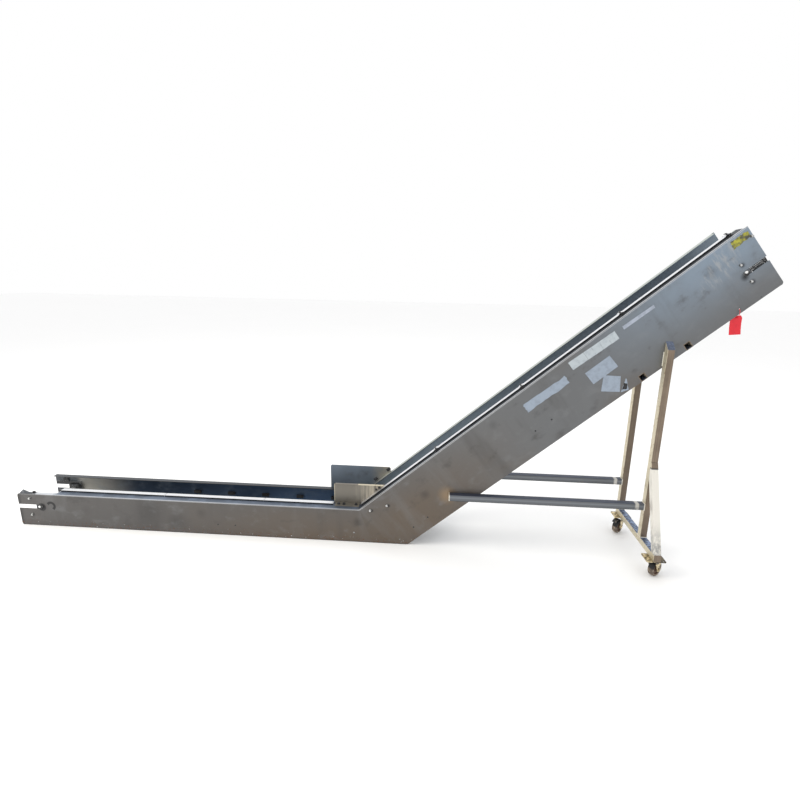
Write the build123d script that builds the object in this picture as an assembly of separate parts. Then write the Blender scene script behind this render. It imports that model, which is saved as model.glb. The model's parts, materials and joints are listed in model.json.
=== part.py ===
from build123d import *
import os
from math import atan2, cos, radians, sin, tan

# Portable inclined conveyor of folded stainless sheet: a level infeed section that rests on the
# floor, an elbow, and an incline that is held up by a stand of square tube on two swivel casters.
# Millimetres. While it is modelled, X runs from the infeed end to the discharge end, Y = 0 is the
# middle of the trough, the near side is -Y, and Z = 0 is the floor.

# Side sheets
SHEET = 3.0
TROUGH_WIDTH = 290.0
LEVEL_HEIGHT = 214.0
ELBOW_X = 2162.0
INCLINE_ANGLE = 40.2
INCLINE_DEPTH = 354.0
INCLINE_LENGTH = 2553.0
BOTTOM_LIP = 25.0
END_CORNER_RADIUS = 14.0
FOLD_RADIUS = 2.5
TIE_HOLE_RADIUS = 3.5
TIE_HOLES = ((235.0, 330.0), (121.0, 343.0))
SPARE_HOLE_X = 2129.0
SPARE_HOLE_DROP = 153.0

# Top flanges
NEAR_FLANGE = 80.0
NEAR_FLANGE_START = 240.0
NEAR_FLANGE_NARROW = 26.0
FAR_FLANGE = 35.0
CORNER_TAB_LENGTH = 112.0
CORNER_TAB_PEAK = 45.0
CORNER_TAB_HEIGHT = 28.0

# Edge rail on the near flange, in butted lengths
RAIL_WIDTH = 30.0
RAIL_HEIGHT = 8.0
RAIL_INSET = 1.0
RAIL_JOINT_GAP = 3.0
LEVEL_RAIL_START = 246.0
LEVEL_RAIL_JOINTS = (925.0, 1559.0)
INCLINE_RAIL_JOINTS = (606.0, 1219.0, 1867.0)
INCLINE_RAIL_START = 6.0
INCLINE_RAIL_FROM_END = 55.0
CLIP_LENGTH = 26.0
CLIP_SHEET = 3.0
CLIP_FOOT = 16.0

# Shafts, bearings and take-up slots
SHAFT_RADIUS = 12.7
BORE_CLEARANCE = 0.05
SLOT_CLEARANCE = 0.9
SHAFT_STUB = 7.0
DRIVE_STUB = 60.0
DRIVE_RADIUS = 11.0
KEYSEAT_WIDTH = 6.35
KEYSEAT_DEPTH = 3.5
KEYSEAT_LENGTH = 24.0
TAIL_SHAFT_X = 144.0
TAIL_SHAFT_DROP = 86.0
TAIL_BLOCK_LENGTH = 64.0
TAIL_BLOCK_HEIGHT = 52.0
TAIL_BLOCK_THICK = 26.0
TAIL_GUIDE_BOLT_X = 78.0
TAIL_GUIDE_BOLT_OFFSET = 55.0
GUIDE_BAR_HEIGHT = 14.0
GUIDE_BAR_THICK = 12.0
GUIDE_EAR_HALF = 14.0
GUIDE_EAR_REACH = 10.4
HEAD_SHAFT_FROM_END = 120.0
HEAD_SHAFT_DROP = 195.0
HEAD_FLANGE_BOLT_OFFSET = 51.5
HEAD_HUB_RADIUS = 30.0
HEAD_HUB_THICK = 28.0
HEAD_PLATE_THICK = 9.0
HEAD_EAR_RADIUS = 15.0
SCREW_RADIUS = 6.0
SCREW_OFFSET = 12.0
SCREW_BRACKET_SHEET = 5.0
SCREW_BRACKET_WIDTH = 24.0
SCREW_BRACKET_HEIGHT = 54.0
SCREW_BRACKET_INSET = 6.0
BOLT_HOLE_RADIUS = 5.2

# Cross members between the side sheets
PAN_LENGTH = 140.0
PAN_HEIGHT = 40.0
PAN_HOLE_SPACING = 109.0
LEVEL_PAN_X = 1335.0
LEVEL_PAN_DROP = 145.0
INCLINE_PANS = ((244.0, 285.0), (1170.0, 233.0))
CROSS_TUBES_FROM_END = (809.0, 535.0)
BEARER_LENGTH = 45.0
BEARER_HEIGHT = 20.0
BEARER_THICK = 12.0
BEARER_DROP = 76.0
BEARER_START_X = 1005.0
BEARER_PITCH = 235.0
BEARER_COUNT = 5

# Hopper panels at the elbow
PANEL_SHEET = 2.5
NEAR_PANEL_START = 1993.0
NEAR_PANEL_RISE = 131.0
PANEL_CORNER_RADIUS = 12.0
PANEL_FOOT_WIDTH = 44.0
PANEL_FOOT_INSET = 10.0
PANEL_HEM = 11.0
PANEL_HEM_SETBACK = 18.0
PANEL_BRACKET_ALONG = 124.0
PANEL_BRACKET_LENGTH = 44.0
PANEL_BRACKET_SHEET = 3.0
PANEL_BRACKET_LEG = 16.0
PANEL_BRACKET_GAP = 2.0
FAR_PANEL_START = 1921.0
FAR_PANEL_END = 2318.0
FAR_PANEL_RISE = 158.0
FAR_PANEL_LAP = 45.0

# Stand of square tube
TUBE = 38.1
TUBE_WALL = 3.0
TUBE_CORNER = 4.0
LEG_X = 3801.0
LEG_LAP = 129.0
LEG_TOP_BEVEL = 47.0
CROSSBAR_Z = 113.0
CROSSBAR_NEAR_LENGTH = 180.0
BRACE_START = 2699.0
BRACE_Z = 320.0
OUTRIGGER_TOP_Z = 566.0

# Swivel casters: turned about the kingpin as they stand
WHEEL_RADIUS = 44.0
TREAD_WIDTH = 31.0
TYRE_THICK = 11.0
TYRE_SHOULDER = 4.0
HUB_BORE_RADIUS = 5.0
AXLE_CLEARANCE = 0.05
AXLE_HEAD_RADIUS = 8.5
AXLE_HEAD_THICK = 5.0
HUB_FACE_WIDTH = 40.0
CASTER_TRAIL = 26.0
CASTER_PLATE_LENGTH = 105.0
CASTER_PLATE_WIDTH = 79.0
CASTER_PLATE_THICK = 4.0
CASTER_PLATE_CORNER = 7.0
PLATE_SLOT_LENGTH = 13.0
PLATE_SLOT_WIDTH = 8.5
PLATE_SLOT_SPACING = (81.0, 58.0)
RACE_RADIUS = 24.0
RACE_THICK = 6.0
SWIVEL_GAP = 0.3
KINGPIN_RADIUS = 6.0
KINGPIN_NUT_RADIUS = 11.0
KINGPIN_NUT_THICK = 5.0
FORK_SHEET = 3.0
FORK_HEAD_RADIUS = 23.0
FORK_SIDE_CLEARANCE = 1.0
FORK_TIP_RADIUS = 14.0
BRAKE_LENGTH = 46.0
BRAKE_WIDTH = 26.0
BRAKE_SHEET = 3.0
BRAKE_DROP = 13.0
BRAKE_SETBACK = 4.5
CASTERS = (("near", 35.0), ("far", -138.0))

# Worked out from the sizes above
HALF = TROUGH_WIDTH / 2
HEAD_SHAFT_ALONG = INCLINE_LENGTH - HEAD_SHAFT_FROM_END
INCLINE_RAIL_END = INCLINE_LENGTH - INCLINE_RAIL_FROM_END
CROSS_TUBES_ALONG = tuple(INCLINE_LENGTH - from_end for from_end in CROSS_TUBES_FROM_END)
SLOPE = radians(INCLINE_ANGLE)
RUN, RISE = cos(SLOPE), sin(SLOPE)
BOTTOM_ELBOW_X = ELBOW_X + (INCLINE_DEPTH - LEVEL_HEIGHT * RUN) / RISE
CROSSBAR_TOP = CROSSBAR_Z + TUBE
CROSSBAR_NEAR_Y = -HALF - TUBE - CROSSBAR_NEAR_LENGTH
CROSSBAR_FAR_Y = HALF + TUBE
RAIL_INNER_Y = -HALF + NEAR_FLANGE - RAIL_INSET
SIDES = {"near": -1, "far": 1}


def on_incline(along, drop):
    """Point in the XZ plane, along the incline's top edge and square down from it."""
    return (ELBOW_X + along * RUN + drop * RISE, LEVEL_HEIGHT + along * RISE - drop * RUN)


def slab(points, y_low, y_high):
    """Sheet whose outline in the XZ plane is points, from y_low to y_high."""
    outline = Polyline(*[(x, y_low, z) for x, z in points], close=True)
    return extrude(make_face(outline), amount=y_high - y_low, dir=(0, 1, 0))


def slab_x(points, x_low, x_high):
    """Sheet whose outline in the YZ plane is points, from x_low to x_high."""
    outline = Polyline(*[(x_low, y, z) for y, z in points], close=True)
    return extrude(make_face(outline), amount=x_high - x_low, dir=(1, 0, 0))


def rod_y(x, z, radius, y_low, y_high):
    """Round bar along Y."""
    middle = (y_low + y_high) / 2
    return Pos(x, middle, z) * Rot(90, 0, 0) * Cylinder(radius, y_high - y_low)


def incline_box(along, drop, length, height, y_low, y_high):
    """Box set square to the incline, centred at along and drop in the XZ plane."""
    x, z = on_incline(along, drop)
    box = Box(length, y_high - y_low, height)
    return Pos(x, (y_low + y_high) / 2, z) * Rot(0, -INCLINE_ANGLE, 0) * box


def span(side, inner, outer):
    """Y range between two distances from the middle, on the side given by its sign."""
    return tuple(sorted((side * inner, side * outer)))


def square_tube(start, end):
    """Square tube with rounded corners from start to end, closed by a plate at each end."""
    axis = Vector(end) - Vector(start)
    frame = Plane(origin=start, z_dir=axis)
    outer = extrude(frame * RectangleRounded(TUBE, TUBE, TUBE_CORNER), axis.length)
    bore = TUBE - 2 * TUBE_WALL
    inner = extrude(frame.offset(TUBE_WALL) * Rectangle(bore, bore), axis.length - 2 * TUBE_WALL)
    return outer - inner


def follow(start_x, drop_top, drop_low, end_along):
    """Band along the trough's top edge, between two drops below it, bent at the elbow."""
    bend = tan(SLOPE / 2)
    return [
        (start_x, LEVEL_HEIGHT - drop_top),
        (ELBOW_X + drop_top * bend, LEVEL_HEIGHT - drop_top),
        on_incline(end_along, drop_top),
        on_incline(end_along, drop_low),
        (ELBOW_X + drop_low * bend, LEVEL_HEIGHT - drop_low),
        (start_x, LEVEL_HEIGHT - drop_low),
    ]


def side_outline():
    """Outline of a side sheet, the level section and the incline in one."""
    return [
        (0, 0),
        (0, LEVEL_HEIGHT),
        (ELBOW_X, LEVEL_HEIGHT),
        on_incline(INCLINE_LENGTH, 0),
        on_incline(INCLINE_LENGTH, INCLINE_DEPTH),
        (BOTTOM_ELBOW_X, 0),
    ]


def follow_bottom(start_x, rise, end_along):
    """Band along the sheet's bottom edge, up to a rise above it, bent at the elbow."""
    return [
        (start_x, 0),
        (BOTTOM_ELBOW_X, 0),
        on_incline(end_along, INCLINE_DEPTH),
        on_incline(end_along, INCLINE_DEPTH - rise),
        (BOTTOM_ELBOW_X - rise * tan(SLOPE / 2), rise),
        (start_x, rise),
    ]


def bottom_lip(side):
    """Lip folded inwards along the bottom edge."""
    points = follow_bottom(END_CORNER_RADIUS, SHEET, INCLINE_LENGTH - END_CORNER_RADIUS)
    return slab(points, *span(side, HALF - SHEET - BOTTOM_LIP, HALF - SHEET / 2))


def shaft_slots():
    """Open slots that the tail and head shafts slide in, cut through both side sheets."""
    half_slot = SHAFT_RADIUS + SLOT_CLEARANCE
    cut_y = (-HALF - SHEET, HALF + SHEET)
    z = LEVEL_HEIGHT - TAIL_SHAFT_DROP
    tail = slab([(-SHEET, z - half_slot), (TAIL_SHAFT_X, z - half_slot),
                 (TAIL_SHAFT_X, z + half_slot), (-SHEET, z + half_slot)], *cut_y)
    tail += rod_y(TAIL_SHAFT_X, z, half_slot, *cut_y)
    length = INCLINE_LENGTH + SHEET - HEAD_SHAFT_ALONG
    head = incline_box(HEAD_SHAFT_ALONG + length / 2, HEAD_SHAFT_DROP, length, 2 * half_slot, *cut_y)
    head += rod_y(*on_incline(HEAD_SHAFT_ALONG, HEAD_SHAFT_DROP), half_slot, *cut_y)
    return tail + head


def bolt_places():
    """Places in the XZ plane where a bolt goes through a side sheet."""
    tail_z = LEVEL_HEIGHT - TAIL_SHAFT_DROP
    places = []
    for way in (-1, 1):
        half_pan = way * PAN_HOLE_SPACING / 2
        places.append((TAIL_GUIDE_BOLT_X, tail_z + way * TAIL_GUIDE_BOLT_OFFSET))
        places.append(on_incline(HEAD_SHAFT_ALONG, HEAD_SHAFT_DROP + way * HEAD_FLANGE_BOLT_OFFSET))
        places.append((LEVEL_PAN_X + half_pan, LEVEL_HEIGHT - LEVEL_PAN_DROP))
        for along, drop in INCLINE_PANS:
            places.append(on_incline(along + half_pan, drop))
    return places


def fold_cut(side, band):
    """What a fold's rounded outer corner takes away, along a band of the sheet's edge."""
    y = side * (HALF - FOLD_RADIUS)
    cut = slab(band, *span(side, HALF - FOLD_RADIUS, HALF + FOLD_RADIUS))
    end, bend, start = (Vector(x, y, z) for x, z in band[3:])
    for low, high in ((start, bend), (bend, end)):
        frame = Plane(origin=low, z_dir=high - low)
        cut -= extrude(frame * Circle(FOLD_RADIUS), (high - low).length)
    return cut - Pos(bend) * Sphere(FOLD_RADIUS)


def side_sheet(name):
    """One folded side sheet with its flange, lip, slots, notches and bolt holes."""
    side = SIDES[name]
    plate = slab(side_outline(), *span(side, HALF - SHEET, HALF))
    corners = plate.edges().filter_by(Axis.Y).group_by(Axis.X)
    plate = fillet(corners[0] + corners[-1], END_CORNER_RADIUS)
    flange = NEAR_FLANGE if name == "near" else FAR_FLANGE
    start = NEAR_FLANGE_START if name == "near" else END_CORNER_RADIUS
    end = INCLINE_LENGTH - END_CORNER_RADIUS
    plate += slab(follow(start, 0, SHEET, end), *span(side, HALF - flange, HALF - SHEET / 2))
    plate += bottom_lip(side)
    plate -= fold_cut(side, follow(start, 0, FOLD_RADIUS, end))
    plate -= fold_cut(side, follow_bottom(END_CORNER_RADIUS, FOLD_RADIUS, end))
    if name == "near":
        narrow = [(END_CORNER_RADIUS, LEVEL_HEIGHT - SHEET), (END_CORNER_RADIUS, LEVEL_HEIGHT),
                  (start, LEVEL_HEIGHT), (start, LEVEL_HEIGHT - SHEET)]
        plate += slab(narrow, *span(side, HALF - NEAR_FLANGE_NARROW, HALF - SHEET / 2))
        tab_foot = LEVEL_HEIGHT - END_CORNER_RADIUS
        tab = [(END_CORNER_RADIUS, tab_foot), (END_CORNER_RADIUS, LEVEL_HEIGHT),
               (CORNER_TAB_PEAK, LEVEL_HEIGHT + CORNER_TAB_HEIGHT),
               (CORNER_TAB_LENGTH, LEVEL_HEIGHT), (CORNER_TAB_LENGTH, tab_foot)]
        plate += slab(tab, *span(side, HALF - SHEET, HALF))
        for from_end, drop in TIE_HOLES:
            plate -= rod_y(*on_incline(INCLINE_LENGTH - from_end, drop), TIE_HOLE_RADIUS,
                           -HALF - SHEET, -HALF + 2 * SHEET)
        plate -= rod_y(SPARE_HOLE_X, LEVEL_HEIGHT - SPARE_HOLE_DROP, BOLT_HOLE_RADIUS,
                       -HALF - SHEET, -HALF + 2 * SHEET)
    plate -= shaft_slots()
    for x, z in bolt_places():
        plate -= rod_y(x, z, BOLT_HOLE_RADIUS, *span(side, HALF - 2 * SHEET, HALF + SHEET))
    for along in CROSS_TUBES_ALONG:
        drop = INCLINE_DEPTH - TUBE / 2
        plate -= incline_box(along, drop, TUBE, TUBE, *span(side, HALF - SHEET - BOTTOM_LIP, HALF))
    return plate


def level_rail():
    """Edge rail on the level flange, one bar between each pair of joints."""
    y = (RAIL_INNER_Y - RAIL_WIDTH, RAIL_INNER_Y)
    stops = (LEVEL_RAIL_START, *LEVEL_RAIL_JOINTS, NEAR_PANEL_START)
    low, high = LEVEL_HEIGHT, LEVEL_HEIGHT + RAIL_HEIGHT
    bars = []
    for start, end in zip(stops, stops[1:]):
        end -= RAIL_JOINT_GAP
        bars.append(slab([(start, low), (end, low), (end, high), (start, high)], *y))
    return Compound(children=bars)


def incline_rail():
    """Edge rail on the incline's flange, one bar between each pair of joints."""
    y = (RAIL_INNER_Y - RAIL_WIDTH, RAIL_INNER_Y)
    stops = (INCLINE_RAIL_START, *INCLINE_RAIL_JOINTS, INCLINE_RAIL_END)
    bars = []
    for start, end in zip(stops, stops[1:]):
        end -= RAIL_JOINT_GAP
        bars.append(incline_box((start + end) / 2, -RAIL_HEIGHT / 2, end - start, RAIL_HEIGHT, *y))
    return Compound(children=bars)


def rail_clips():
    """Bent clips over the rail's joints, each with a foot on the flange."""
    outer_y = RAIL_INNER_Y - RAIL_WIDTH
    top = RAIL_HEIGHT + CLIP_SHEET
    clips = []
    for along in (*INCLINE_RAIL_JOINTS, INCLINE_RAIL_END):
        along -= CLIP_LENGTH / 2
        cap = incline_box(along, -RAIL_HEIGHT - CLIP_SHEET / 2, CLIP_LENGTH, CLIP_SHEET,
                          outer_y - CLIP_SHEET, RAIL_INNER_Y)
        wall = incline_box(along, -top / 2, CLIP_LENGTH, top, outer_y - CLIP_SHEET, outer_y)
        foot = incline_box(along, -CLIP_SHEET / 2, CLIP_LENGTH, CLIP_SHEET,
                           outer_y - CLIP_FOOT, outer_y)
        clips.append(cap + wall + foot)
    return Compound(children=clips)


def near_panel():
    """Hopper panel inside the near flange, with a foot turned out over the level flange."""
    y = -HALF + NEAR_FLANGE
    top = LEVEL_HEIGHT + NEAR_PANEL_RISE
    meet_x = ELBOW_X + NEAR_PANEL_RISE / tan(SLOPE)
    low = LEVEL_HEIGHT - SHEET
    low_elbow_x = ELBOW_X + SHEET * tan(SLOPE / 2)
    wall = slab([(NEAR_PANEL_START, low), (NEAR_PANEL_START, top), (meet_x, top),
                 (meet_x + SHEET * RISE, top - SHEET * RUN), (low_elbow_x, low)],
                y, y + PANEL_SHEET)
    first_edges = wall.edges().filter_by(Axis.Y).group_by(Axis.X)[0]
    wall = fillet(first_edges.sort_by(Axis.Z)[-1], PANEL_CORNER_RADIUS)
    foot_start = NEAR_PANEL_START + PANEL_FOOT_INSET
    foot_end = ELBOW_X - PANEL_FOOT_INSET
    foot = slab([(foot_start, LEVEL_HEIGHT), (foot_end, LEVEL_HEIGHT),
                 (foot_end, LEVEL_HEIGHT + PANEL_SHEET), (foot_start, LEVEL_HEIGHT + PANEL_SHEET)],
                y - PANEL_FOOT_WIDTH, y)
    hem_end = meet_x - PANEL_HEM_SETBACK
    hem_start, hem_low = NEAR_PANEL_START + PANEL_CORNER_RADIUS, top - PANEL_SHEET
    hem = slab([(hem_start, hem_low), (hem_end, hem_low), (hem_end, top), (hem_start, top)],
               y - PANEL_HEM, y)
    rise = RAIL_HEIGHT + PANEL_BRACKET_GAP + PANEL_BRACKET_LEG / 2
    bracket = incline_box(PANEL_BRACKET_ALONG + PANEL_BRACKET_LENGTH / 2, -rise,
                          PANEL_BRACKET_LENGTH, PANEL_BRACKET_LEG, y - PANEL_BRACKET_SHEET, y)
    return wall + foot + hem + bracket


def far_panel():
    """Hopper panel lapped on the outside of the far side sheet."""
    low, high = LEVEL_HEIGHT - FAR_PANEL_LAP, LEVEL_HEIGHT + FAR_PANEL_RISE
    wall = slab([(FAR_PANEL_START, low), (FAR_PANEL_START, high), (FAR_PANEL_END, high),
                 (FAR_PANEL_END, low)], HALF, HALF + PANEL_SHEET)
    top_edges = wall.edges().filter_by(Axis.Y).group_by(Axis.Z)[-1]
    return fillet(top_edges, PANEL_CORNER_RADIUS)


def pan(x, z, turn):
    """Folded cross member, open below, whose ends bolt to both side sheets."""
    width = TROUGH_WIDTH - 2 * SHEET
    body = Box(PAN_LENGTH, width, PAN_HEIGHT)
    hollow = Box(PAN_LENGTH - 2 * SHEET, width - 2 * SHEET, PAN_HEIGHT)
    body -= Pos(0, 0, -SHEET) * hollow
    for way in (-1, 1):
        hole = Rot(90, 0, 0) * Cylinder(BOLT_HOLE_RADIUS, 2 * width)
        body -= Pos(way * PAN_HOLE_SPACING / 2, 0, 0) * hole
    return Pos(x, 0, z) * Rot(0, -turn, 0) * body


def cross_tubes():
    """Open square tubes let into notches in the bottom edge of the incline."""
    tubes = []
    drop = INCLINE_DEPTH - TUBE / 2
    bore = TUBE - 2 * TUBE_WALL
    for along in CROSS_TUBES_ALONG:
        tube = incline_box(along, drop, TUBE, TUBE, -HALF, HALF)
        tube -= incline_box(along, drop, bore, bore, -HALF - SHEET, HALF + SHEET)
        tubes.append(tube)
    return Compound(children=tubes)


def bearer_blocks(name):
    """Row of small blocks on the inside of a level side sheet, that carried the belt's bed."""
    side = SIDES[name]
    blocks = []
    z = LEVEL_HEIGHT - BEARER_DROP
    y = side * (HALF - SHEET - BEARER_THICK / 2)
    for index in range(BEARER_COUNT):
        block = Box(BEARER_LENGTH, BEARER_THICK, BEARER_HEIGHT)
        blocks.append(Pos(BEARER_START_X + index * BEARER_PITCH, y, z) * block)
    return Compound(children=blocks)


def tail_bearing(name):
    """Take-up bearing block of the tail shaft, between two guide bars bolted to the sheet."""
    side = SIDES[name]
    z = LEVEL_HEIGHT - TAIL_SHAFT_DROP
    inner = HALF - SHEET
    y = span(side, inner - TAIL_BLOCK_THICK, inner)
    half_length, half_height = TAIL_BLOCK_LENGTH / 2, TAIL_BLOCK_HEIGHT / 2
    block = slab([(TAIL_SHAFT_X - half_length, z - half_height),
                  (TAIL_SHAFT_X + half_length, z - half_height),
                  (TAIL_SHAFT_X + half_length, z + half_height),
                  (TAIL_SHAFT_X - half_length, z + half_height)], *y)
    return block - rod_y(TAIL_SHAFT_X, z, SHAFT_RADIUS + BORE_CLEARANCE, *span(side, 0, HALF))


def tail_guides(name):
    """Guide bars above and below the tail bearing block, with their bolt holes."""
    side = SIDES[name]
    z = LEVEL_HEIGHT - TAIL_SHAFT_DROP
    y = span(side, HALF - SHEET - GUIDE_BAR_THICK, HALF - SHEET)
    end = TAIL_SHAFT_X + TAIL_BLOCK_LENGTH / 2
    bars = []
    for way in (-1, 1):
        near_z = z + way * TAIL_BLOCK_HEIGHT / 2
        far_z = near_z + way * GUIDE_BAR_HEIGHT
        bar = slab([(END_CORNER_RADIUS, near_z), (end, near_z), (end, far_z),
                    (END_CORNER_RADIUS, far_z)], *y)
        ear_z = z + way * TAIL_GUIDE_BOLT_OFFSET
        ear_top = ear_z + way * GUIDE_EAR_REACH
        ear_start, ear_end = TAIL_GUIDE_BOLT_X - GUIDE_EAR_HALF, TAIL_GUIDE_BOLT_X + GUIDE_EAR_HALF
        bar += slab([(ear_start, near_z), (ear_end, near_z), (ear_end, ear_top),
                     (ear_start, ear_top)], *y)
        bar -= rod_y(TAIL_GUIDE_BOLT_X, ear_z, BOLT_HOLE_RADIUS, *span(side, 0, HALF))
        bars.append(bar)
    return Compound(children=bars)


def head_bearing(name):
    """Two-bolt flange bearing of the head shaft, on the inside of the side sheet."""
    side = SIDES[name]
    inner = HALF - SHEET
    plate_y = span(side, inner - HEAD_PLATE_THICK, inner)
    centre = on_incline(HEAD_SHAFT_ALONG, HEAD_SHAFT_DROP)
    body = rod_y(*centre, HEAD_HUB_RADIUS, *span(side, inner - HEAD_HUB_THICK, inner))
    for way in (-1, 1):
        ear = on_incline(HEAD_SHAFT_ALONG, HEAD_SHAFT_DROP + way * HEAD_FLANGE_BOLT_OFFSET)
        body += rod_y(*ear, HEAD_EAR_RADIUS, *plate_y)
    body += incline_box(HEAD_SHAFT_ALONG, HEAD_SHAFT_DROP, 2 * HEAD_EAR_RADIUS,
                        2 * HEAD_FLANGE_BOLT_OFFSET, *plate_y)
    body -= rod_y(*centre, SHAFT_RADIUS + BORE_CLEARANCE, *span(side, 0, HALF))
    for way in (-1, 1):
        ear = on_incline(HEAD_SHAFT_ALONG, HEAD_SHAFT_DROP + way * HEAD_FLANGE_BOLT_OFFSET)
        body -= rod_y(*ear, BOLT_HOLE_RADIUS, *span(side, 0, HALF))
    return body


def head_screw(name):
    """Take-up screw from the head bearing's hub to a bracket at the end of the slot."""
    side = SIDES[name]
    inner = HALF - SHEET
    screw_y = side * (inner - SCREW_OFFSET)
    bracket_along = INCLINE_LENGTH - SCREW_BRACKET_INSET - SCREW_BRACKET_SHEET
    start = HEAD_SHAFT_ALONG + HEAD_HUB_RADIUS
    x, z = on_incline((start + bracket_along) / 2, HEAD_SHAFT_DROP)
    screw = Pos(x, screw_y, z) * Rot(0, 90 - INCLINE_ANGLE, 0) * Cylinder(
        SCREW_RADIUS, bracket_along - start)
    web = incline_box(bracket_along + SCREW_BRACKET_SHEET / 2, HEAD_SHAFT_DROP,
                      SCREW_BRACKET_SHEET, SCREW_BRACKET_HEIGHT,
                      *span(side, inner - SCREW_BRACKET_WIDTH, inner))
    return screw + web


def shaft(x, z, near_end, far_end):
    """Plain round shaft along Y."""
    return rod_y(x, z, SHAFT_RADIUS, near_end, far_end)


def head_shaft():
    """Head shaft, with a keyed stub on the far side for its drive."""
    x, z = on_incline(HEAD_SHAFT_ALONG, HEAD_SHAFT_DROP)
    shoulder = HALF + SHAFT_STUB
    end = shoulder + DRIVE_STUB
    body = shaft(x, z, -HALF - SHAFT_STUB, shoulder)
    body += rod_y(x, z, DRIVE_RADIUS, shoulder, end)
    key = Box(KEYSEAT_WIDTH, KEYSEAT_LENGTH, 2 * KEYSEAT_DEPTH)
    return body - Pos(x, end - KEYSEAT_LENGTH / 2, z + DRIVE_RADIUS) * key


def leg(name):
    """Upright of the stand, welded to the outside of the side sheet, its capped top cut to slope out."""
    side = SIDES[name]
    y = side * (HALF + TUBE / 2)
    x = LEG_X + TUBE / 2
    top = (x - BOTTOM_ELBOW_X) * tan(SLOPE) + LEG_LAP
    slope = tan(radians(LEG_TOP_BEVEL))
    cap_drop = TUBE_WALL / cos(radians(LEG_TOP_BEVEL))
    post = square_tube((x, y, CROSSBAR_TOP), (x, y, top + TUBE))
    keep = slab_x([(side * HALF, CROSSBAR_TOP), (side * HALF, top),
                   (side * (HALF + TUBE), top - TUBE * slope), (side * (HALF + TUBE), CROSSBAR_TOP)],
                  LEG_X, LEG_X + TUBE)
    wall, far_wall = TUBE_WALL, TUBE - TUBE_WALL
    cap_corners = ((wall, 0), (far_wall, 0), (far_wall, cap_drop), (wall, cap_drop))
    cap = slab_x([(side * (HALF + out), top - out * slope - drop) for out, drop in cap_corners],
                 LEG_X + TUBE_WALL, LEG_X + TUBE - TUBE_WALL)
    return (post & keep) + cap


def brace(name):
    """Level tube from the side sheet to the leg."""
    y = SIDES[name] * (HALF + TUBE / 2)
    z = BRACE_Z + TUBE / 2
    return square_tube((BRACE_START, y, z), (LEG_X, y, z))


def crossbar():
    """Tube under both legs, that reaches out on the near side."""
    x, z = LEG_X + TUBE / 2, CROSSBAR_Z + TUBE / 2
    return square_tube((x, CROSSBAR_NEAR_Y, z), (x, CROSSBAR_FAR_Y, z))


def outrigger():
    """Slanted tube from the near leg's face down to the crossbar's near end."""
    x = LEG_X + TUBE / 2
    leg_face = -HALF - TUBE
    fall = OUTRIGGER_TOP_Z - CROSSBAR_TOP
    angle = atan2(leg_face - CROSSBAR_NEAR_Y, fall)
    foot_y = CROSSBAR_NEAR_Y + TUBE / 2 / cos(angle)
    lean = (leg_face - foot_y) / fall
    low = (x, foot_y - lean * TUBE, CROSSBAR_TOP - TUBE)
    high = (x, leg_face + lean * TUBE, OUTRIGGER_TOP_Z + TUBE)
    reach = 2 * fall
    keep = slab([(x - TUBE, CROSSBAR_TOP), (x - TUBE, CROSSBAR_TOP + reach),
                 (x + TUBE, CROSSBAR_TOP + reach), (x + TUBE, CROSSBAR_TOP)],
                leg_face - reach, leg_face)
    return square_tube(low, high) & keep


def caster_y(name):
    """Middle of a caster's plate, under an end of the crossbar."""
    inset = CASTER_PLATE_WIDTH / 2
    return CROSSBAR_NEAR_Y + inset if name == "near" else CROSSBAR_FAR_Y - inset


def caster_place(name, turn):
    """Location of a caster: its kingpin's axis on the floor, turned about it."""
    return Pos(LEG_X + TUBE / 2, caster_y(name), 0) * Rot(0, 0, turn)


def caster_plate(name):
    """Top plate with its upper race, and the kingpin that the fork turns on."""
    top = CROSSBAR_Z
    outline = RectangleRounded(CASTER_PLATE_LENGTH, CASTER_PLATE_WIDTH, CASTER_PLATE_CORNER)
    slots = GridLocations(*PLATE_SLOT_SPACING, 2, 2) * SlotOverall(PLATE_SLOT_LENGTH, PLATE_SLOT_WIDTH)
    plate = extrude(outline - slots, CASTER_PLATE_THICK / 2, both=True)
    plate = Pos(0, 0, top - CASTER_PLATE_THICK / 2) * plate
    low = top - CASTER_PLATE_THICK - RACE_THICK
    plate += Pos(0, 0, low + RACE_THICK / 2) * Cylinder(RACE_RADIUS, RACE_THICK)
    pin_low = low - SWIVEL_GAP - FORK_SHEET - SWIVEL_GAP
    plate += Pos(0, 0, (pin_low + low) / 2) * Cylinder(KINGPIN_RADIUS, low - pin_low)
    plate += Pos(0, 0, pin_low - KINGPIN_NUT_THICK) * extrude(
        RegularPolygon(KINGPIN_NUT_RADIUS, 6), KINGPIN_NUT_THICK)
    return Pos(LEG_X + TUBE / 2, caster_y(name), 0) * plate


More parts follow.
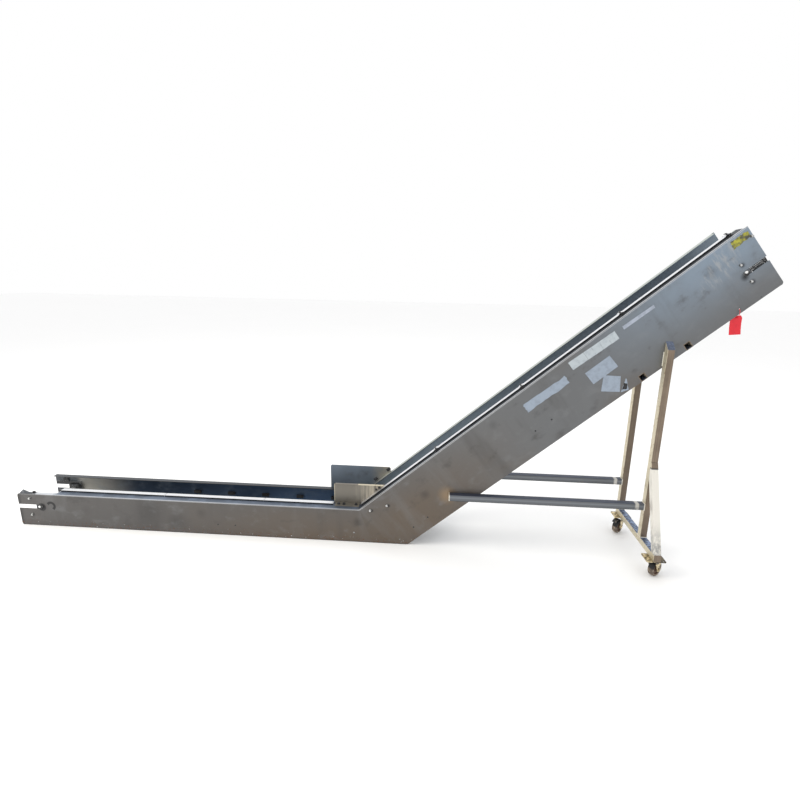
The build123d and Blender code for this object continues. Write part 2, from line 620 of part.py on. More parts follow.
def fork():
    """Swivel fork, its kingpin on Z and its axle behind at the trail, before it is turned."""
    head_top = CROSSBAR_Z - CASTER_PLATE_THICK - RACE_THICK - SWIVEL_GAP
    head_low = head_top - FORK_SHEET
    half_gap = HUB_FACE_WIDTH / 2 + FORK_SIDE_CLEARANCE
    half_width = half_gap + FORK_SHEET
    head = Pos(0, 0, head_top - FORK_SHEET / 2) * Cylinder(FORK_HEAD_RADIUS, FORK_SHEET)
    head += Pos(CASTER_TRAIL / 2, 0, head_top - FORK_SHEET / 2) * Box(
        CASTER_TRAIL, 2 * half_width, FORK_SHEET)
    head -= Pos(0, 0, head_top) * Cylinder(KINGPIN_RADIUS + AXLE_CLEARANCE, 4 * FORK_SHEET)
    for side in (-1, 1):
        cheek = slab([(-FORK_TIP_RADIUS, head_top), (CASTER_TRAIL + FORK_TIP_RADIUS / 2, head_top),
                      (CASTER_TRAIL + FORK_TIP_RADIUS, WHEEL_RADIUS),
                      (CASTER_TRAIL - FORK_TIP_RADIUS, WHEEL_RADIUS), (-FORK_TIP_RADIUS, head_low)],
                     *span(side, half_gap, half_width))
        cheek += rod_y(CASTER_TRAIL, WHEEL_RADIUS, FORK_TIP_RADIUS, *span(side, half_gap, half_width))
        head += cheek
    bore = HUB_BORE_RADIUS + AXLE_CLEARANCE
    return head - rod_y(CASTER_TRAIL, WHEEL_RADIUS, bore, -2 * half_width, 2 * half_width)


def axle():
    """Axle bolt through the fork, with its hexagon head at one end and its nut at the other."""
    half = HUB_FACE_WIDTH / 2 + FORK_SIDE_CLEARANCE + FORK_SHEET
    bolt = rod_y(CASTER_TRAIL, WHEEL_RADIUS, HUB_BORE_RADIUS, -half, half)
    head = extrude(RegularPolygon(AXLE_HEAD_RADIUS, 6), AXLE_HEAD_THICK)
    for side in (-1, 1):
        bolt += Pos(CASTER_TRAIL, side * half, WHEEL_RADIUS) * Rot(-90 * side, 0, 0) * head
    return bolt


def brake():
    """Foot lever of the brake, folded down over the fork's back."""
    half_gap = HUB_FACE_WIDTH / 2 + FORK_SIDE_CLEARANCE
    head_top = CROSSBAR_Z - CASTER_PLATE_THICK - RACE_THICK - SWIVEL_GAP
    start = CASTER_TRAIL + FORK_TIP_RADIUS / 2
    top = head_top - BRAKE_SETBACK
    end = start + BRAKE_LENGTH
    lever = slab([(start, top), (start, top - BRAKE_SHEET), (end - BRAKE_DROP, top - BRAKE_SHEET),
                  (end, top - BRAKE_DROP), (end + BRAKE_SHEET, top - BRAKE_DROP + BRAKE_SHEET),
                  (end - BRAKE_DROP + BRAKE_SHEET / 2, top)], -BRAKE_WIDTH / 2, BRAKE_WIDTH / 2)
    web = slab([(start, top - BRAKE_SHEET), (start, top), (start + BRAKE_SHEET, top),
                (start + BRAKE_SHEET, top - BRAKE_SHEET)], -half_gap, half_gap)
    for side in (-1, 1):
        web += slab([(start - BRAKE_SHEET, top - BRAKE_SHEET), (start - BRAKE_SHEET, top),
                     (start + BRAKE_SHEET, top), (start + BRAKE_SHEET, top - BRAKE_SHEET)],
                    *span(side, half_gap - BRAKE_SHEET, half_gap))
    return lever + web


def tyre():
    """Tread of the wheel, with a chamfered shoulder on each side."""
    half = TREAD_WIDTH / 2
    flat = half - TYRE_SHOULDER
    inner, shoulder = WHEEL_RADIUS - TYRE_THICK, WHEEL_RADIUS - TYRE_SHOULDER
    profile = Polyline((0, -half, inner), (0, -half, shoulder), (0, -flat, WHEEL_RADIUS),
                       (0, flat, WHEEL_RADIUS), (0, half, shoulder), (0, half, inner), close=True)
    return Pos(CASTER_TRAIL, 0, WHEEL_RADIUS) * revolve(make_face(profile), Axis.Y)


def hub():
    """Wheel centre: a rim, a web and a boss with the axle's bore."""
    rim = WHEEL_RADIUS - TYRE_THICK
    body = rod_y(0, 0, rim, -TREAD_WIDTH / 2, TREAD_WIDTH / 2)
    recess = TREAD_WIDTH / 4
    for side in (-1, 1):
        ring = rod_y(0, 0, rim - SHEET, *span(side, recess, TREAD_WIDTH))
        body -= ring - rod_y(0, 0, 2 * AXLE_HEAD_RADIUS, *span(side, recess, TREAD_WIDTH))
    body += rod_y(0, 0, AXLE_HEAD_RADIUS, -HUB_FACE_WIDTH / 2, HUB_FACE_WIDTH / 2)
    body -= rod_y(0, 0, HUB_BORE_RADIUS + AXLE_CLEARANCE, -HUB_FACE_WIDTH, HUB_FACE_WIDTH)
    return Pos(CASTER_TRAIL, 0, WHEEL_RADIUS) * body


def all_nodes():
    """Every piece by its node name, in the frame that the sizes are given in."""
    nodes = {}
    for name in SIDES:
        nodes[f"side_sheet_{name}"] = side_sheet(name)
        nodes[f"tail_bearing_{name}"] = tail_bearing(name)
        nodes[f"tail_guides_{name}"] = tail_guides(name)
        nodes[f"head_bearing_{name}"] = head_bearing(name)
        nodes[f"head_screw_{name}"] = head_screw(name)
        nodes[f"bearer_blocks_{name}"] = bearer_blocks(name)
        nodes[f"leg_{name}"] = leg(name)
        nodes[f"brace_{name}"] = brace(name)
    nodes["edge_rail_level"] = level_rail()
    nodes["edge_rail_incline"] = incline_rail()
    nodes["rail_clips"] = rail_clips()
    nodes["hopper_panel_near"] = near_panel()
    nodes["hopper_panel_far"] = far_panel()
    nodes["cross_pan_level"] = pan(LEVEL_PAN_X, LEVEL_HEIGHT - LEVEL_PAN_DROP, 0)
    for place, name in zip(INCLINE_PANS, ("low", "high")):
        nodes[f"cross_pan_incline_{name}"] = pan(*on_incline(*place), INCLINE_ANGLE)
    nodes["cross_tubes"] = cross_tubes()
    nodes["crossbar"] = crossbar()
    nodes["outrigger"] = outrigger()
    nodes["tail_shaft"] = shaft(TAIL_SHAFT_X, LEVEL_HEIGHT - TAIL_SHAFT_DROP,
                                -HALF - SHAFT_STUB, HALF + SHAFT_STUB)
    nodes["head_shaft"] = head_shaft()
    for name, turn in CASTERS:
        place = caster_place(name, turn)
        nodes[f"caster_plate_{name}"] = caster_plate(name)
        nodes[f"caster_fork_{name}"] = place * fork()
        nodes[f"caster_axle_{name}"] = place * axle()
        nodes[f"caster_brake_{name}"] = place * brake()
        nodes[f"caster_tyre_{name}"] = place * tyre()
        nodes[f"caster_hub_{name}"] = place * hub()
    return nodes


def main():
    """Builds every node, sets the origin under the middle of the whole part and writes the files."""
    nodes = all_nodes()
    box = Compound([solid for node in nodes.values() for solid in node.solids()]).bounding_box()
    middle = box.center()
    to_origin = Pos(-middle.X, -middle.Y, -box.min.Z)
    os.makedirs("parts", exist_ok=True)
    for name, node in nodes.items():
        export_step(to_origin * node, f"parts/{name}.step")
    print("origin shift", round(-middle.X, 3), round(-middle.Y, 3), round(-box.min.Z, 3))


main()
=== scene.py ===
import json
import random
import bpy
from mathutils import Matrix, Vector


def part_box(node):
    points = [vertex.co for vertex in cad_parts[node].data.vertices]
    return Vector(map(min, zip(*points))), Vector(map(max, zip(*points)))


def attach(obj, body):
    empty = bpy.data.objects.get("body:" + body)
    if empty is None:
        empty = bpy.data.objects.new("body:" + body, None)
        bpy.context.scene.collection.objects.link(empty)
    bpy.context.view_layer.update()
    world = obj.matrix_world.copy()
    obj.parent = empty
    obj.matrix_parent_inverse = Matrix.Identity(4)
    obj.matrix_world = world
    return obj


bl_info = {
    "name": "Inclined conveyor frame finish",
    "version": (1, 0, 0),
    "blender": (4, 5, 0),
    "location": "View3D > Sidebar > Conveyor",
    "description": "Finishes, fasteners, welds and labels for an inclined conveyor frame",
    "category": "Object",
}

from contextlib import contextmanager
from math import cos, pi, radians, sin

import bmesh
import bpy
from bpy.props import FloatProperty, FloatVectorProperty, IntProperty, PointerProperty
from mathutils import Matrix, Vector

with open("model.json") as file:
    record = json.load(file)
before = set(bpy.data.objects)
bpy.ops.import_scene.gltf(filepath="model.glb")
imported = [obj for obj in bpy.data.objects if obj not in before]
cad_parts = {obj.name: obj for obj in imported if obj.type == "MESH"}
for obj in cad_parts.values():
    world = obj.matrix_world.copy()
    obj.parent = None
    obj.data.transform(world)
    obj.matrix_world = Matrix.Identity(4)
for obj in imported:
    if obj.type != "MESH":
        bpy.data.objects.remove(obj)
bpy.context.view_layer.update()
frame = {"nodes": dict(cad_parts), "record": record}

# Places on the frame, in metres, taken from its nodes
INFEED_X, NEAR_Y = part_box("side_sheet_near")[0].xy
FAR_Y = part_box("side_sheet_far")[1].y
PANEL_LOW, PANEL_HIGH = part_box("hopper_panel_near")
FAR_PANEL_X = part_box("hopper_panel_far")[0].x
RAIL_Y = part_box("edge_rail_level")[0].y
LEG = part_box("leg_near")[0]
OUTRIGGER_LOW, OUTRIGGER_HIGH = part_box("outrigger")
BRACE_LOW, BRACE_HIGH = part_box("brace_near")

# Sizes of the side sheets, in metres. Their level section and incline meet at the elbow
LEVEL_TOP = 0.214
ELBOW_X = INFEED_X + 2.162
SLOPE = radians(40.2)
RUN, RISE = cos(SLOPE), sin(SLOPE)
INCLINE_DEPTH = 0.354
INCLINE_LENGTH = 2.553

# Places on the sheets: how far along the section and how far down from its top edge
TAIL_SHAFT, TAIL_BOLT_REACH = (0.078, 0.086), 0.055
HEAD_SHAFT, HEAD_BOLT_REACH = (2.433, 0.195), 0.0515
LEVEL_PAN, INCLINE_PANS, PAN_BOLT_REACH = (1.335, 0.145), ((0.244, 0.285), (1.170, 0.233)), 0.0545
ELBOW_BOLTS = (0.050, 0.042), (0.151, 0.078)
END_BOLT = (2.546, 0.055)
TAG_HOLE = (INCLINE_LENGTH - 0.235, 0.330)
SIGN_START, SIGN_END, SIGN_DEPTH = Vector((1.477, 0.024)), Vector((1.764, 0.032)), 0.050
RAIL_JOINTS = (0.593, 1.206, 1.854, 2.485)
PANEL_EDGE_DROP = -0.018

# Dark marks on the near sheet: their places as above, their radius and their strength. The level ones are
# scuffs, grease and dark patches round the tail bolts. On the incline, the first three are painted shadows
# beside the head bolts and the head shaft, the last two are painted shadows beside the elbow bolts, and
# the rest are scuffs.
LEVEL_MARKS = (((0.078, 0.029), 0.020, 0.4), ((0.082, 0.141), 0.022, 0.5), ((2.150, 0.080), 0.040, 0.4),
               ((0.44, 0.09), 0.05, 0.12), ((1.18, 0.075), 0.05, 0.2), ((0.86, 0.07), 0.16, 0.22),
               ((1.02, 0.14), 0.10, 0.28))
INCLINE_MARKS = (((2.439, 0.149), 0.020, 0.9), ((2.439, 0.252), 0.020, 0.9), ((2.420, 0.207), 0.030, 0.9),
                 ((0.377, 0.160), 0.045, 0.35), ((0.949, 0.061), 0.04, 0.2), ((2.30, 0.09), 0.05, 0.2),
                 ((0.057, 0.048), 0.017, 1.0), ((0.158, 0.084), 0.017, 1.0))
ARC_MARK = (0.2115, 0.077)

# A spot this close to a sheet's face counts as on it
SKIN = 0.0008

# The two sides' names in the frame, and which way each faces along Y
SIDES = (("near", -1), ("far", 1))


def on_incline(along, drop):
    """Place in the XZ plane, along the incline's top edge and square down from it."""
    return ELBOW_X + along * RUN + drop * RISE, LEVEL_TOP + along * RISE - drop * RUN


def on_level(from_end, drop):
    """Place in the XZ plane, along the level section from its infeed end and down from its top."""
    return INFEED_X + from_end, LEVEL_TOP - drop


def beside(section, place, reach=0.0, down=0.0):
    """The two places on either side of one, by a reach along the section or down it."""
    along, drop = place
    return [section(along + way * reach, drop + way * down) for way in (-1, 1)]


def face_y(side):
    """Outer face of the near (-1) or far (1) sheet."""
    return NEAR_Y if side < 0 else FAR_Y


# Shader wiring
class Wire:
    """A shader socket that takes Python's operators, each of which adds a Math node."""

    def __init__(self, finish, socket):
        self.finish, self.socket = finish, socket

    def maths(self, operation, *values):
        return self.finish.node("ShaderNodeMath", {"operation": operation}, dict(enumerate(values)))

    def __add__(self, other):
        return self.maths("ADD", self, other)

    def __sub__(self, other):
        return self.maths("SUBTRACT", self, other)

    def __rsub__(self, other):
        return self.maths("SUBTRACT", other, self)

    def __mul__(self, other):
        return self.maths("MULTIPLY", self, other)

    def __gt__(self, other):
        return self.maths("GREATER_THAN", self, other)

    def __lt__(self, other):
        return self.maths("LESS_THAN", self, other)

    def __abs__(self):
        return self.maths("ABSOLUTE", self)

    __radd__ = __add__
    __rmul__ = __mul__

    def highest(self, other):
        return self.maths("MAXIMUM", self, other)

    def ramp(self, low, high):
        """0 below low, 1 above high and smooth between them. low may be above high."""
        sockets = {"Value": self, "From Min": low, "From Max": high}
        return self.finish.node("ShaderNodeMapRange", {"interpolation_type": "SMOOTHSTEP"}, sockets)

    def noise(self, scale, detail=3.0, roughness=0.5, stretch=None):
        """Noise at this vector, which may be stretched first."""
        vector = self
        if stretch:
            vector = self.finish.node("ShaderNodeMapping", sockets={"Vector": self, "Scale": stretch})
        sockets = {"Vector": vector, "Scale": scale, "Detail": detail, "Roughness": roughness}
        return self.finish.node("ShaderNodeTexNoise", sockets=sockets)

    def mix(self, first, second):
        """Two colours, blended by this factor. Each is a wire or a plain colour."""
        sockets = {0: self, 6: first, 7: second}
        return self.finish.node("ShaderNodeMix", {"data_type": "RGBA"}, sockets, 2)

    def blend(self, factor, other, share=None):
        """This colour with another over it, as far as the factor says. A share shades a plain one."""
        return factor.mix(self, shade(other, share) if share else other)


def shade(colour, share):
    """The colour made darker or lighter."""
    return [min(1.0, part * share) for part in colour]


def span(a, b, place):
    """Distance from a place in the plane of two wires."""
    across, up = a - place[0], b - place[1]
    square = across * across + up * up
    return square.maths("SQRT", square)


def nearness(a, b, place, radius, firm=0.55):
    """1 close to a place in the plane of two wires, falling to 0 at the radius."""
    return span(a, b, place).ramp(radius, radius * firm)


class Finish:
    """One procedural material. What changes over the surface is wired, and the rest is set."""

    def __init__(self, name, metallic=0.0):
        self.material = bpy.data.materials.new(name)
        self.material.use_nodes = True
        self.tree = self.material.node_tree
        self.shader = self.tree.nodes["Principled BSDF"]
        self.shader.inputs["Metallic"].default_value = metallic

    def node(self, kind, settings=None, sockets=None, output=0):
        """Adds a node: its settings first, then the values or wires of its sockets."""
        made = self.tree.nodes.new(kind)
        for name, value in (settings or {}).items():
            setattr(made, name, value)
        for name, value in (sockets or {}).items():
            self.feed(made.inputs[name], value)
        return Wire(self, made.outputs[output])

    def feed(self, socket, value):
        """Links a wire to the socket or sets a value, and gives a colour its alpha."""
        if isinstance(value, Wire):
            self.tree.links.new(value.socket, socket)
        else:
            socket.default_value = (*value, 1.0) if socket.type == "RGBA" else value

    def coat(self, tone, rough, relief=None, strength=0.0, depth=0.0):
        """Gives the shader its colour, its roughness and a bump where there is relief."""
        self.feed(self.shader.inputs["Base Color"], tone)
        self.feed(self.shader.inputs["Roughness"], rough)
        if relief:
            sockets = {"Height": relief, "Strength": strength, "Distance": depth}
            self.feed(self.shader.inputs["Normal"], self.node("ShaderNodeBump", sockets=sockets))
        return self.material

    def spot(self):
        return self.node("ShaderNodeTexCoord", output=3)

    def parts(self, vector):
        """The x, y and z of a vector, each as a wire."""
        first = self.node("ShaderNodeSeparateXYZ", sockets={0: vector})
        return [Wire(self, socket) for socket in first.socket.node.outputs]

    def axes(self):
        return self.parts(self.spot())

    def normals(self):
        return self.parts(self.node("ShaderNodeTexCoord", output=1))

    def trough(self):
        """Distance along the trough from the elbow, drop below its top edge, and both as a vector."""
        x, y, z = self.axes()
        run_x, run_z = x - ELBOW_X, z - LEVEL_TOP
        level_drop = 0.0 - run_z
        slant_drop = run_x * RISE - run_z * RUN
        on_slant = slant_drop > level_drop
        drop = level_drop.highest(slant_drop)
        along = run_x + on_slant * (run_x * (RUN - 1) + run_z * RISE)
        return along, drop, self.node("ShaderNodeCombineXYZ", sockets={0: along, 1: y, 2: drop})


# Finishes
def sheet_finish(hues):
    """Brushed stainless sheet: grain along the trough, smudges, scratches and a painted highlight along
    the folded top edge.
    """
    finish = Finish("brushed_sheet", 0.62)
    along, drop, vector = finish.trough()
    x, y, _ = finish.axes()
    from_end = x - INFEED_X
    slanted = along.ramp(-0.03, 0.03)
    near_face, far_face, flange = y < NEAR_Y + SKIN, y > FAR_Y - SKIN, drop < SKIN
    broad = vector.noise(1.6, 4, stretch=(1, 1, 2.2))
    cloudy = vector.noise(9, 5, 0.6, (1, 1, 1.5))
    grain = vector.noise(1, 3, 0.7, (3, 40, 700))
    tone = sheet_tone_and_reflection(along, drop, vector, broad, cloudy, hues)
    tone = marks_shadows_and_glints(finish, tone, along, drop, vector, near_face, hues)
    face = (drop > 0.0022) * near_face.highest(far_face)
    # Painted highlight along the folded top edge of the sheets' faces
    tone = tone.blend(drop.ramp(0.0062, 0.0015) * face * (0.5 + slanted * 0.3), hues.fold)
    tone = tone.blend(flange, flange_tone(from_end, y, along, slanted, cloudy, hues))
    inside = (1 - near_face) * (1 - far_face) * (1 - flange) * (y > FAR_Y - 0.02)
    tone = tone.blend(inside, well_tone(from_end, along, cloudy, hues))
    return finish.coat(tone, 0.34 + cloudy * 0.16 + grain * 0.08, grain, 0.14, 0.0006)


def sheet_tone_and_reflection(along, drop, vector, broad, cloudy, hues):
    """The sheets' colour as it goes from the level section up the incline, with clouds and runs, and a
    bluish painted reflection towards the discharge end.
    """
    runs = vector.noise(6, 5, 0.6, (1, 1, 0.16))
    tone = along.ramp(-0.1, 1.0).mix(hues.sheet_level, hues.sheet_middle)
    elbow = along.ramp(-1.5, -0.1) * along.ramp(1.25, 0.2) * drop.ramp(-0.10, 0.22)
    tone = tone.blend(elbow * (0.45 + broad * 0.9), hues.sheet_warm)
    # Painted reflection: bluish and brighter towards the discharge end, strongest near the top edge
    head = along.ramp(1.35, 2.45) * drop.ramp(0.36, 0.02)
    tone = tone.blend(head * (0.45 + cloudy * 0.8), hues.sheet_head)
    tone = tone.blend(runs.ramp(0.54, 0.78) * 0.3, hues.sheet_middle, 1.35)
    tone = tone.blend(runs.ramp(0.47, 0.27) * 0.4, hues.sheet_level, 0.72)
    tone = tone.blend(broad.ramp(0.48, 0.30) * 0.35, hues.sheet_warm)
    tone = tone.blend(cloudy.ramp(0.54, 0.78) * 0.35, hues.sheet_middle, 1.5)
    return tone.blend(cloudy.ramp(0.44, 0.24) * 0.5, hues.sheet_level, 0.6)


def marks_shadows_and_glints(finish, tone, along, drop, vector, near_face, hues):
    """Adds what has marked the near sheet: scratches, rubbed places, scuffs, grease, weld scorch, a darker
    infeed end and bottom edge, and rust specks; and painted shadows beside the head and elbow bolts and
    the head shaft, and painted glints along the bottom edge.
    """
    scratch = vector.noise(2, 6, 0.75, (26, 1, 7))
    tone = tone.blend(scratch.ramp(0.70, 0.76) * 0.35, hues.sheet_scratch)
    slope = (along - 2.3) * 0.9 + drop
    rubbed = slope.ramp(0.02, 0.08) * slope.ramp(0.30, 0.17) * along.ramp(2.14, 2.26) * near_face
    rubbed = rubbed * drop.ramp(0.20, 0.12)
    streaks = vector.noise(5, 5, 0.7, (9, 1, 2.5))
    tone = tone.blend(rubbed * streaks.ramp(0.46, 0.72) * 0.6, hues.sheet_scratch)
    x, _, z = finish.axes()
    from_end = x - INFEED_X
    arc = span(from_end, drop, ARC_MARK)
    turned = (from_end - drop) > (ARC_MARK[0] - ARC_MARK[1] - 0.010)
    marks = arc.ramp(0.012, 0.018) * arc.ramp(0.034, 0.027) * turned * 0.85
    marks = marks.highest(nearness(from_end, drop, (0.151, 0.087), 0.030, 0.7) * 0.9)
    # Among these marks are painted shadows beside the head and elbow bolts and the head shaft
    for way, spots in ((from_end, LEVEL_MARKS), (along, INCLINE_MARKS)):
        for place, radius, share in spots:
            marks = marks.highest(nearness(way, drop, place, radius, 0.0) * share)
    tone = tone.blend(marks * near_face, hues.sheet_dark)
    weld = (BRACE_LOW.x - 0.012, (BRACE_LOW.z + BRACE_HIGH.z) / 2)
    tone = tone.blend(nearness(x, z, weld, 0.075, 0.1) * near_face * 0.7, hues.scorch)
    ends = from_end.ramp(0.030, 0.002).highest(z.ramp(0.010, 0.001) * 0.8)
    tone = tone.blend(ends * near_face * 0.6, hues.sheet_dark)
    low = z.ramp(0.060, 0.008) * near_face
    speck = vector.noise(120, 3, 0.6)
    tone = tone.blend(speck.ramp(0.58, 0.66) * low * 0.8, hues.rust)
    # Painted glints of light along the bottom edge
    glint = vector.noise(130, 2, stretch=(0.5, 1, 1))
    return tone.blend(glint.ramp(0.68, 0.72) * low, hues.fold)


def flange_tone(from_end, y, along, slanted, cloudy, hues):
    """The top flanges' colour. The near one: painted bluish with the sky's reflection along the level
    section and dark with shade up the incline, a painted highlight along its rim, brighter over its first
    part at the infeed end, the sheet's colour along its rim up the incline, and its corner tab. The far
    one: pale with painted sky reflection up the incline.
    """
    inward = y - NEAR_Y
    # Painted light: the near flange bluish with the sky's reflection along the level section and dark with
    # shade up the incline; the clouds are lighter patches of that reflection
    tone = slanted.mix(hues.flange_level, hues.flange_slant)
    clouds = cloudy.ramp(0.42, 0.66) * along.ramp(0.0, -0.03) * 0.5
    tone = tone.blend(clouds, hues.flange_level, 2.1)
    # Painted highlight along the near flange's rim; the flange is also made bright over its first part at
    # the infeed end
    rim = inward.ramp(0.011, 0.004).highest(inward.ramp(0.019, 0.012) * slanted)
    rim = (rim * (0.45 + slanted * 0.4)).highest(from_end.ramp(0.26, 0.22) * 0.8)
    tone = tone.blend(rim, hues.fold)
    tone = tone.blend(along.ramp(0.0, 0.04) * inward.ramp(0.009, 0.005), hues.sheet_middle)
    tab = from_end.ramp(0.125, 0.105) * (0.45 + cloudy.ramp(0.4, 0.6) * 0.55)
    tone = tone.blend(tab, hues.flange_far)
    # The far flange pale with painted sky reflection up the incline
    return tone.blend(y > 0, along.ramp(0.0, 0.2).mix(hues.flange_far, hues.flange_far_slant))


def well_tone(from_end, along, cloudy, hues):
    """The colour of the far sheet's inside, a painted reflection of the surroundings: pale at the infeed
    end, dark and then pale up the incline.
    """
    # Painted reflection of the surroundings on the far sheet's inside
    deep = from_end.ramp(0.7, 1.8).mix(shade(hues.well, 0.5), shade(hues.well, 1.4))
    tone = from_end.ramp(0.25, 0.62).mix(hues.well_end, deep)
    tone = tone.blend(from_end.ramp(0.20, 0.14), hues.flange_far)
    slant = along.ramp(0.2, 2.2).mix(shade(hues.well_slant, 1.45), shade(hues.well_slant, 0.62))
    tone = tone.blend(along.ramp(-0.05, 0.12), slant)
    return tone.blend(cloudy.ramp(0.45, 0.75) * 0.35, hues.well_slant, 0.6)


def drawn_grain(finish):
    """Fine grain and dull places of drawn bar and folded sheet."""
    vector = finish.trough()[2]
    return vector.noise(1.5, stretch=(6, 90, 500)), vector.noise(22, 4)


def pan_finish(hues):
    """Folded pans, a little duller than the sheets."""
    finish = Finish("folded_pan", 0.6)
    grain, dull = drawn_grain(finish)
    tone = (dull.ramp(0.45, 0.8) * 0.5).mix(hues.sheet_middle, shade(hues.sheet_middle, 0.62))
    return finish.coat(tone, 0.4 + grain * 0.15, grain, 0.1, 0.0004)


def rail_finish(hues):
    """Bright edge rail, painted dark with shade on its near side, and dark where its clips hold it."""
    finish = Finish("edge_rail", 0.8)
    grain, dull = drawn_grain(finish)
    tone = (dull.ramp(0.5, 0.8) * 0.4).mix(hues.rail, shade(hues.rail, 0.7))
    # Painted shade on the rail's near side; the clips are dark as well
    clips = finish.axes()[1] < RAIL_Y - 0.0004
    tone = tone.blend(finish.normals()[1].ramp(-0.5, -0.9).highest(clips * 0.85), hues.dark_steel)
    return finish.coat(tone, 0.25 + grain * 0.15, grain, 0.1, 0.0004)


def shaft_finish(hues):
    """Turned shafts and screws, greasy in places, painted dark with shade on the faces turned to the near
    side, with a painted highlight near the top of each shaft's end.
    """
    finish = Finish("turned_bar", 0.85)
    x, _, z = finish.axes()
    rings = finish.spot().noise(1, 2, stretch=(3, 600, 3))
    grease = finish.spot().noise(60, 4, 0.6)
    tone = (grease.ramp(0.5, 0.75) * 0.6).mix(hues.steel, shade(hues.steel, 0.3))
    # Painted shade on the faces turned towards the near side
    tone = tone.blend(finish.normals()[1].ramp(-0.5, -0.9), hues.dark_steel)
    # Painted highlights on the tail and head shaft ends
    head_x, head_z = on_incline(*HEAD_SHAFT)
    highlight_spot = nearness(x, z, on_level(0.140, 0.082), 0.009)
    highlight_spot = highlight_spot.highest(nearness(x, z, (head_x - 0.003, head_z + 0.007), 0.010))
    tone = tone.blend(highlight_spot, hues.steel, 1.3)
    return finish.coat(tone, 0.2 + grease * 0.2, rings, 0.1, 0.0003)


def bolt_finish(hues):
    """Bolt heads painted with light: a bright face and top, and dark sides painted as shade."""
    finish = Finish("bolt_head", 0.7)
    _, turned_y, turned_z = finish.normals()
    darkening = finish.spot().noise(260)
    # Painted light: faces turned along Y and upwards are lit steel, the other sides dark with shade
    lit_face = abs(turned_y).ramp(0.75, 0.95).highest(turned_z.ramp(0.3, 0.8))
    tone = lit_face.mix(hues.dark_steel, hues.steel)
    tone = tone.blend(darkening.ramp(0.5, 0.62) * 0.8, hues.dark_steel)
    return finish.coat(tone, 0.25 + darkening * 0.2, darkening, 0.2, 0.0003)


def panel_finish(hues):
    """Hopper panel sheet: tan grey with upright light streaks near the incline, and painted highlights
    along the near panel's top and infeed edges.
    """
    finish = Finish("panel_sheet", 0.55)
    x, y, z = finish.axes()
    streak = finish.spot().noise(1, 3, 0.6, (70, 4, 3))
    cloudy = finish.spot().noise(11, 4)
    right = (x - PANEL_LOW.x).ramp(0.11, 0.24)
    near_tone = (right * streak.ramp(0.35, 0.65)).mix(hues.panel, hues.panel_light)
    from_start = x - FAR_PANEL_X
    tone = from_start.ramp(0.08, 0.20).mix(hues.panel_far, shade(hues.panel_far, 1.4))
    tone = tone.blend(from_start.ramp(0.24, 0.38) * cloudy.ramp(0.3, 0.6), hues.panel_light)
    tone = tone.blend(cloudy.ramp(0.55, 0.75) * 0.4, hues.panel_far, 1.6)
    near = y < PANEL_HIGH.y + 0.02
    tone = tone.blend(near, near_tone)
    # Painted highlight along the near panel's top and infeed edges
    top = (z > PANEL_HIGH.z - 0.0035) * (x > PANEL_LOW.x + 0.15)
    tone = tone.blend(top.highest(x < PANEL_LOW.x + 0.003) * near * 0.85, hues.panel_edge)
    tone = tone.blend(cloudy.ramp(0.42, 0.25) * 0.4, hues.panel, 0.55)
    return finish.coat(tone, 0.34 + cloudy * 0.2, streak, 0.06, 0.0006)


def tube_finish(hues):
    """Stainless square tube: linished grain, heat tint spots, infeed sides painted bright with light, tops
    painted bluish with the sky's reflection, the far side's tubes painted darker with shade, the outrigger
    painted near white as a highlight and a painted shadow where it laps the leg.
    """
    finish = Finish("linished_tube", 0.6)
    x, y, z = finish.axes()
    turned_x, _, turned_z = finish.normals()
    upward = turned_z.ramp(0.4, 0.75)
    spot = finish.spot()
    grain = spot.noise(1, 3, 0.7, (260, 260, 6))
    drawn = spot.noise(1, 2, stretch=(150, 150, 1.5))
    cloudy = spot.noise(14, 5, 0.6)
    mottled = spot.noise(1, 5, 0.7, (60, 60, 25))
    tone = cloudy.ramp(0.35, 0.75).mix(hues.tube, shade(hues.tube, 1.3))
    tone = tone.blend(drawn.ramp(0.5, 0.62) * 0.4, hues.tube, 1.7)
    # Painted shade on the far side's tubes
    tone = tone.blend((y > 0) * 0.6, hues.tube, 0.7)
    # Painted light on the sides that face the infeed end
    side = (mottled.ramp(0.46, 0.36) * 0.75).mix(hues.tube_side, hues.heat_tint)
    tone = tone.blend(turned_x.ramp(-0.35, -0.9), side)
    # Painted sky reflection on the tops, with mottled lighter patches
    mottling = mottled.ramp(0.42, 0.62) * (0.25 + z.ramp(0.30, 0.20) * 0.75)
    tone = tone.blend(upward, mottling.mix(hues.tube_top, shade(hues.tube_top, 3.2)))
    level = z.ramp(BRACE_LOW.z - 0.001, BRACE_LOW.z) * z.ramp(BRACE_HIGH.z + 0.001, BRACE_HIGH.z)
    level = level * (x < LEG.x - 0.0002)
    tone = tone.blend(level, brace_tone(x, z, upward, cloudy, hues))
    lap_z = OUTRIGGER_HIGH.z - 0.031
    # Painted highlight: the outrigger near white, greyer and mottled low down
    bright = (y < LEG.y - 0.0005) * (z > OUTRIGGER_LOW.z + 0.002) * (z < lap_z)
    mottled_patch = z.ramp(0.33, 0.16) * mottled.ramp(0.35, 0.6) * 0.7
    tone = tone.blend(bright, mottled_patch.mix(hues.outrigger, hues.brace))
    # Painted shadow where the outrigger laps the leg
    lap_shadow = abs(z - lap_z).ramp(0.006, 0.002) * (y < LEG.y + 0.004)
    tone = tone.blend(lap_shadow * 0.85, hues.dark_steel)
    tint_spots = spot.noise(38, 4, 0.6).ramp(0.6, 0.85)
    tone = tone.blend(tint_spots * 0.35, hues.heat_tint)
    return finish.coat(tone, 0.36 + grain * 0.14, grain, 0.08, 0.0005)


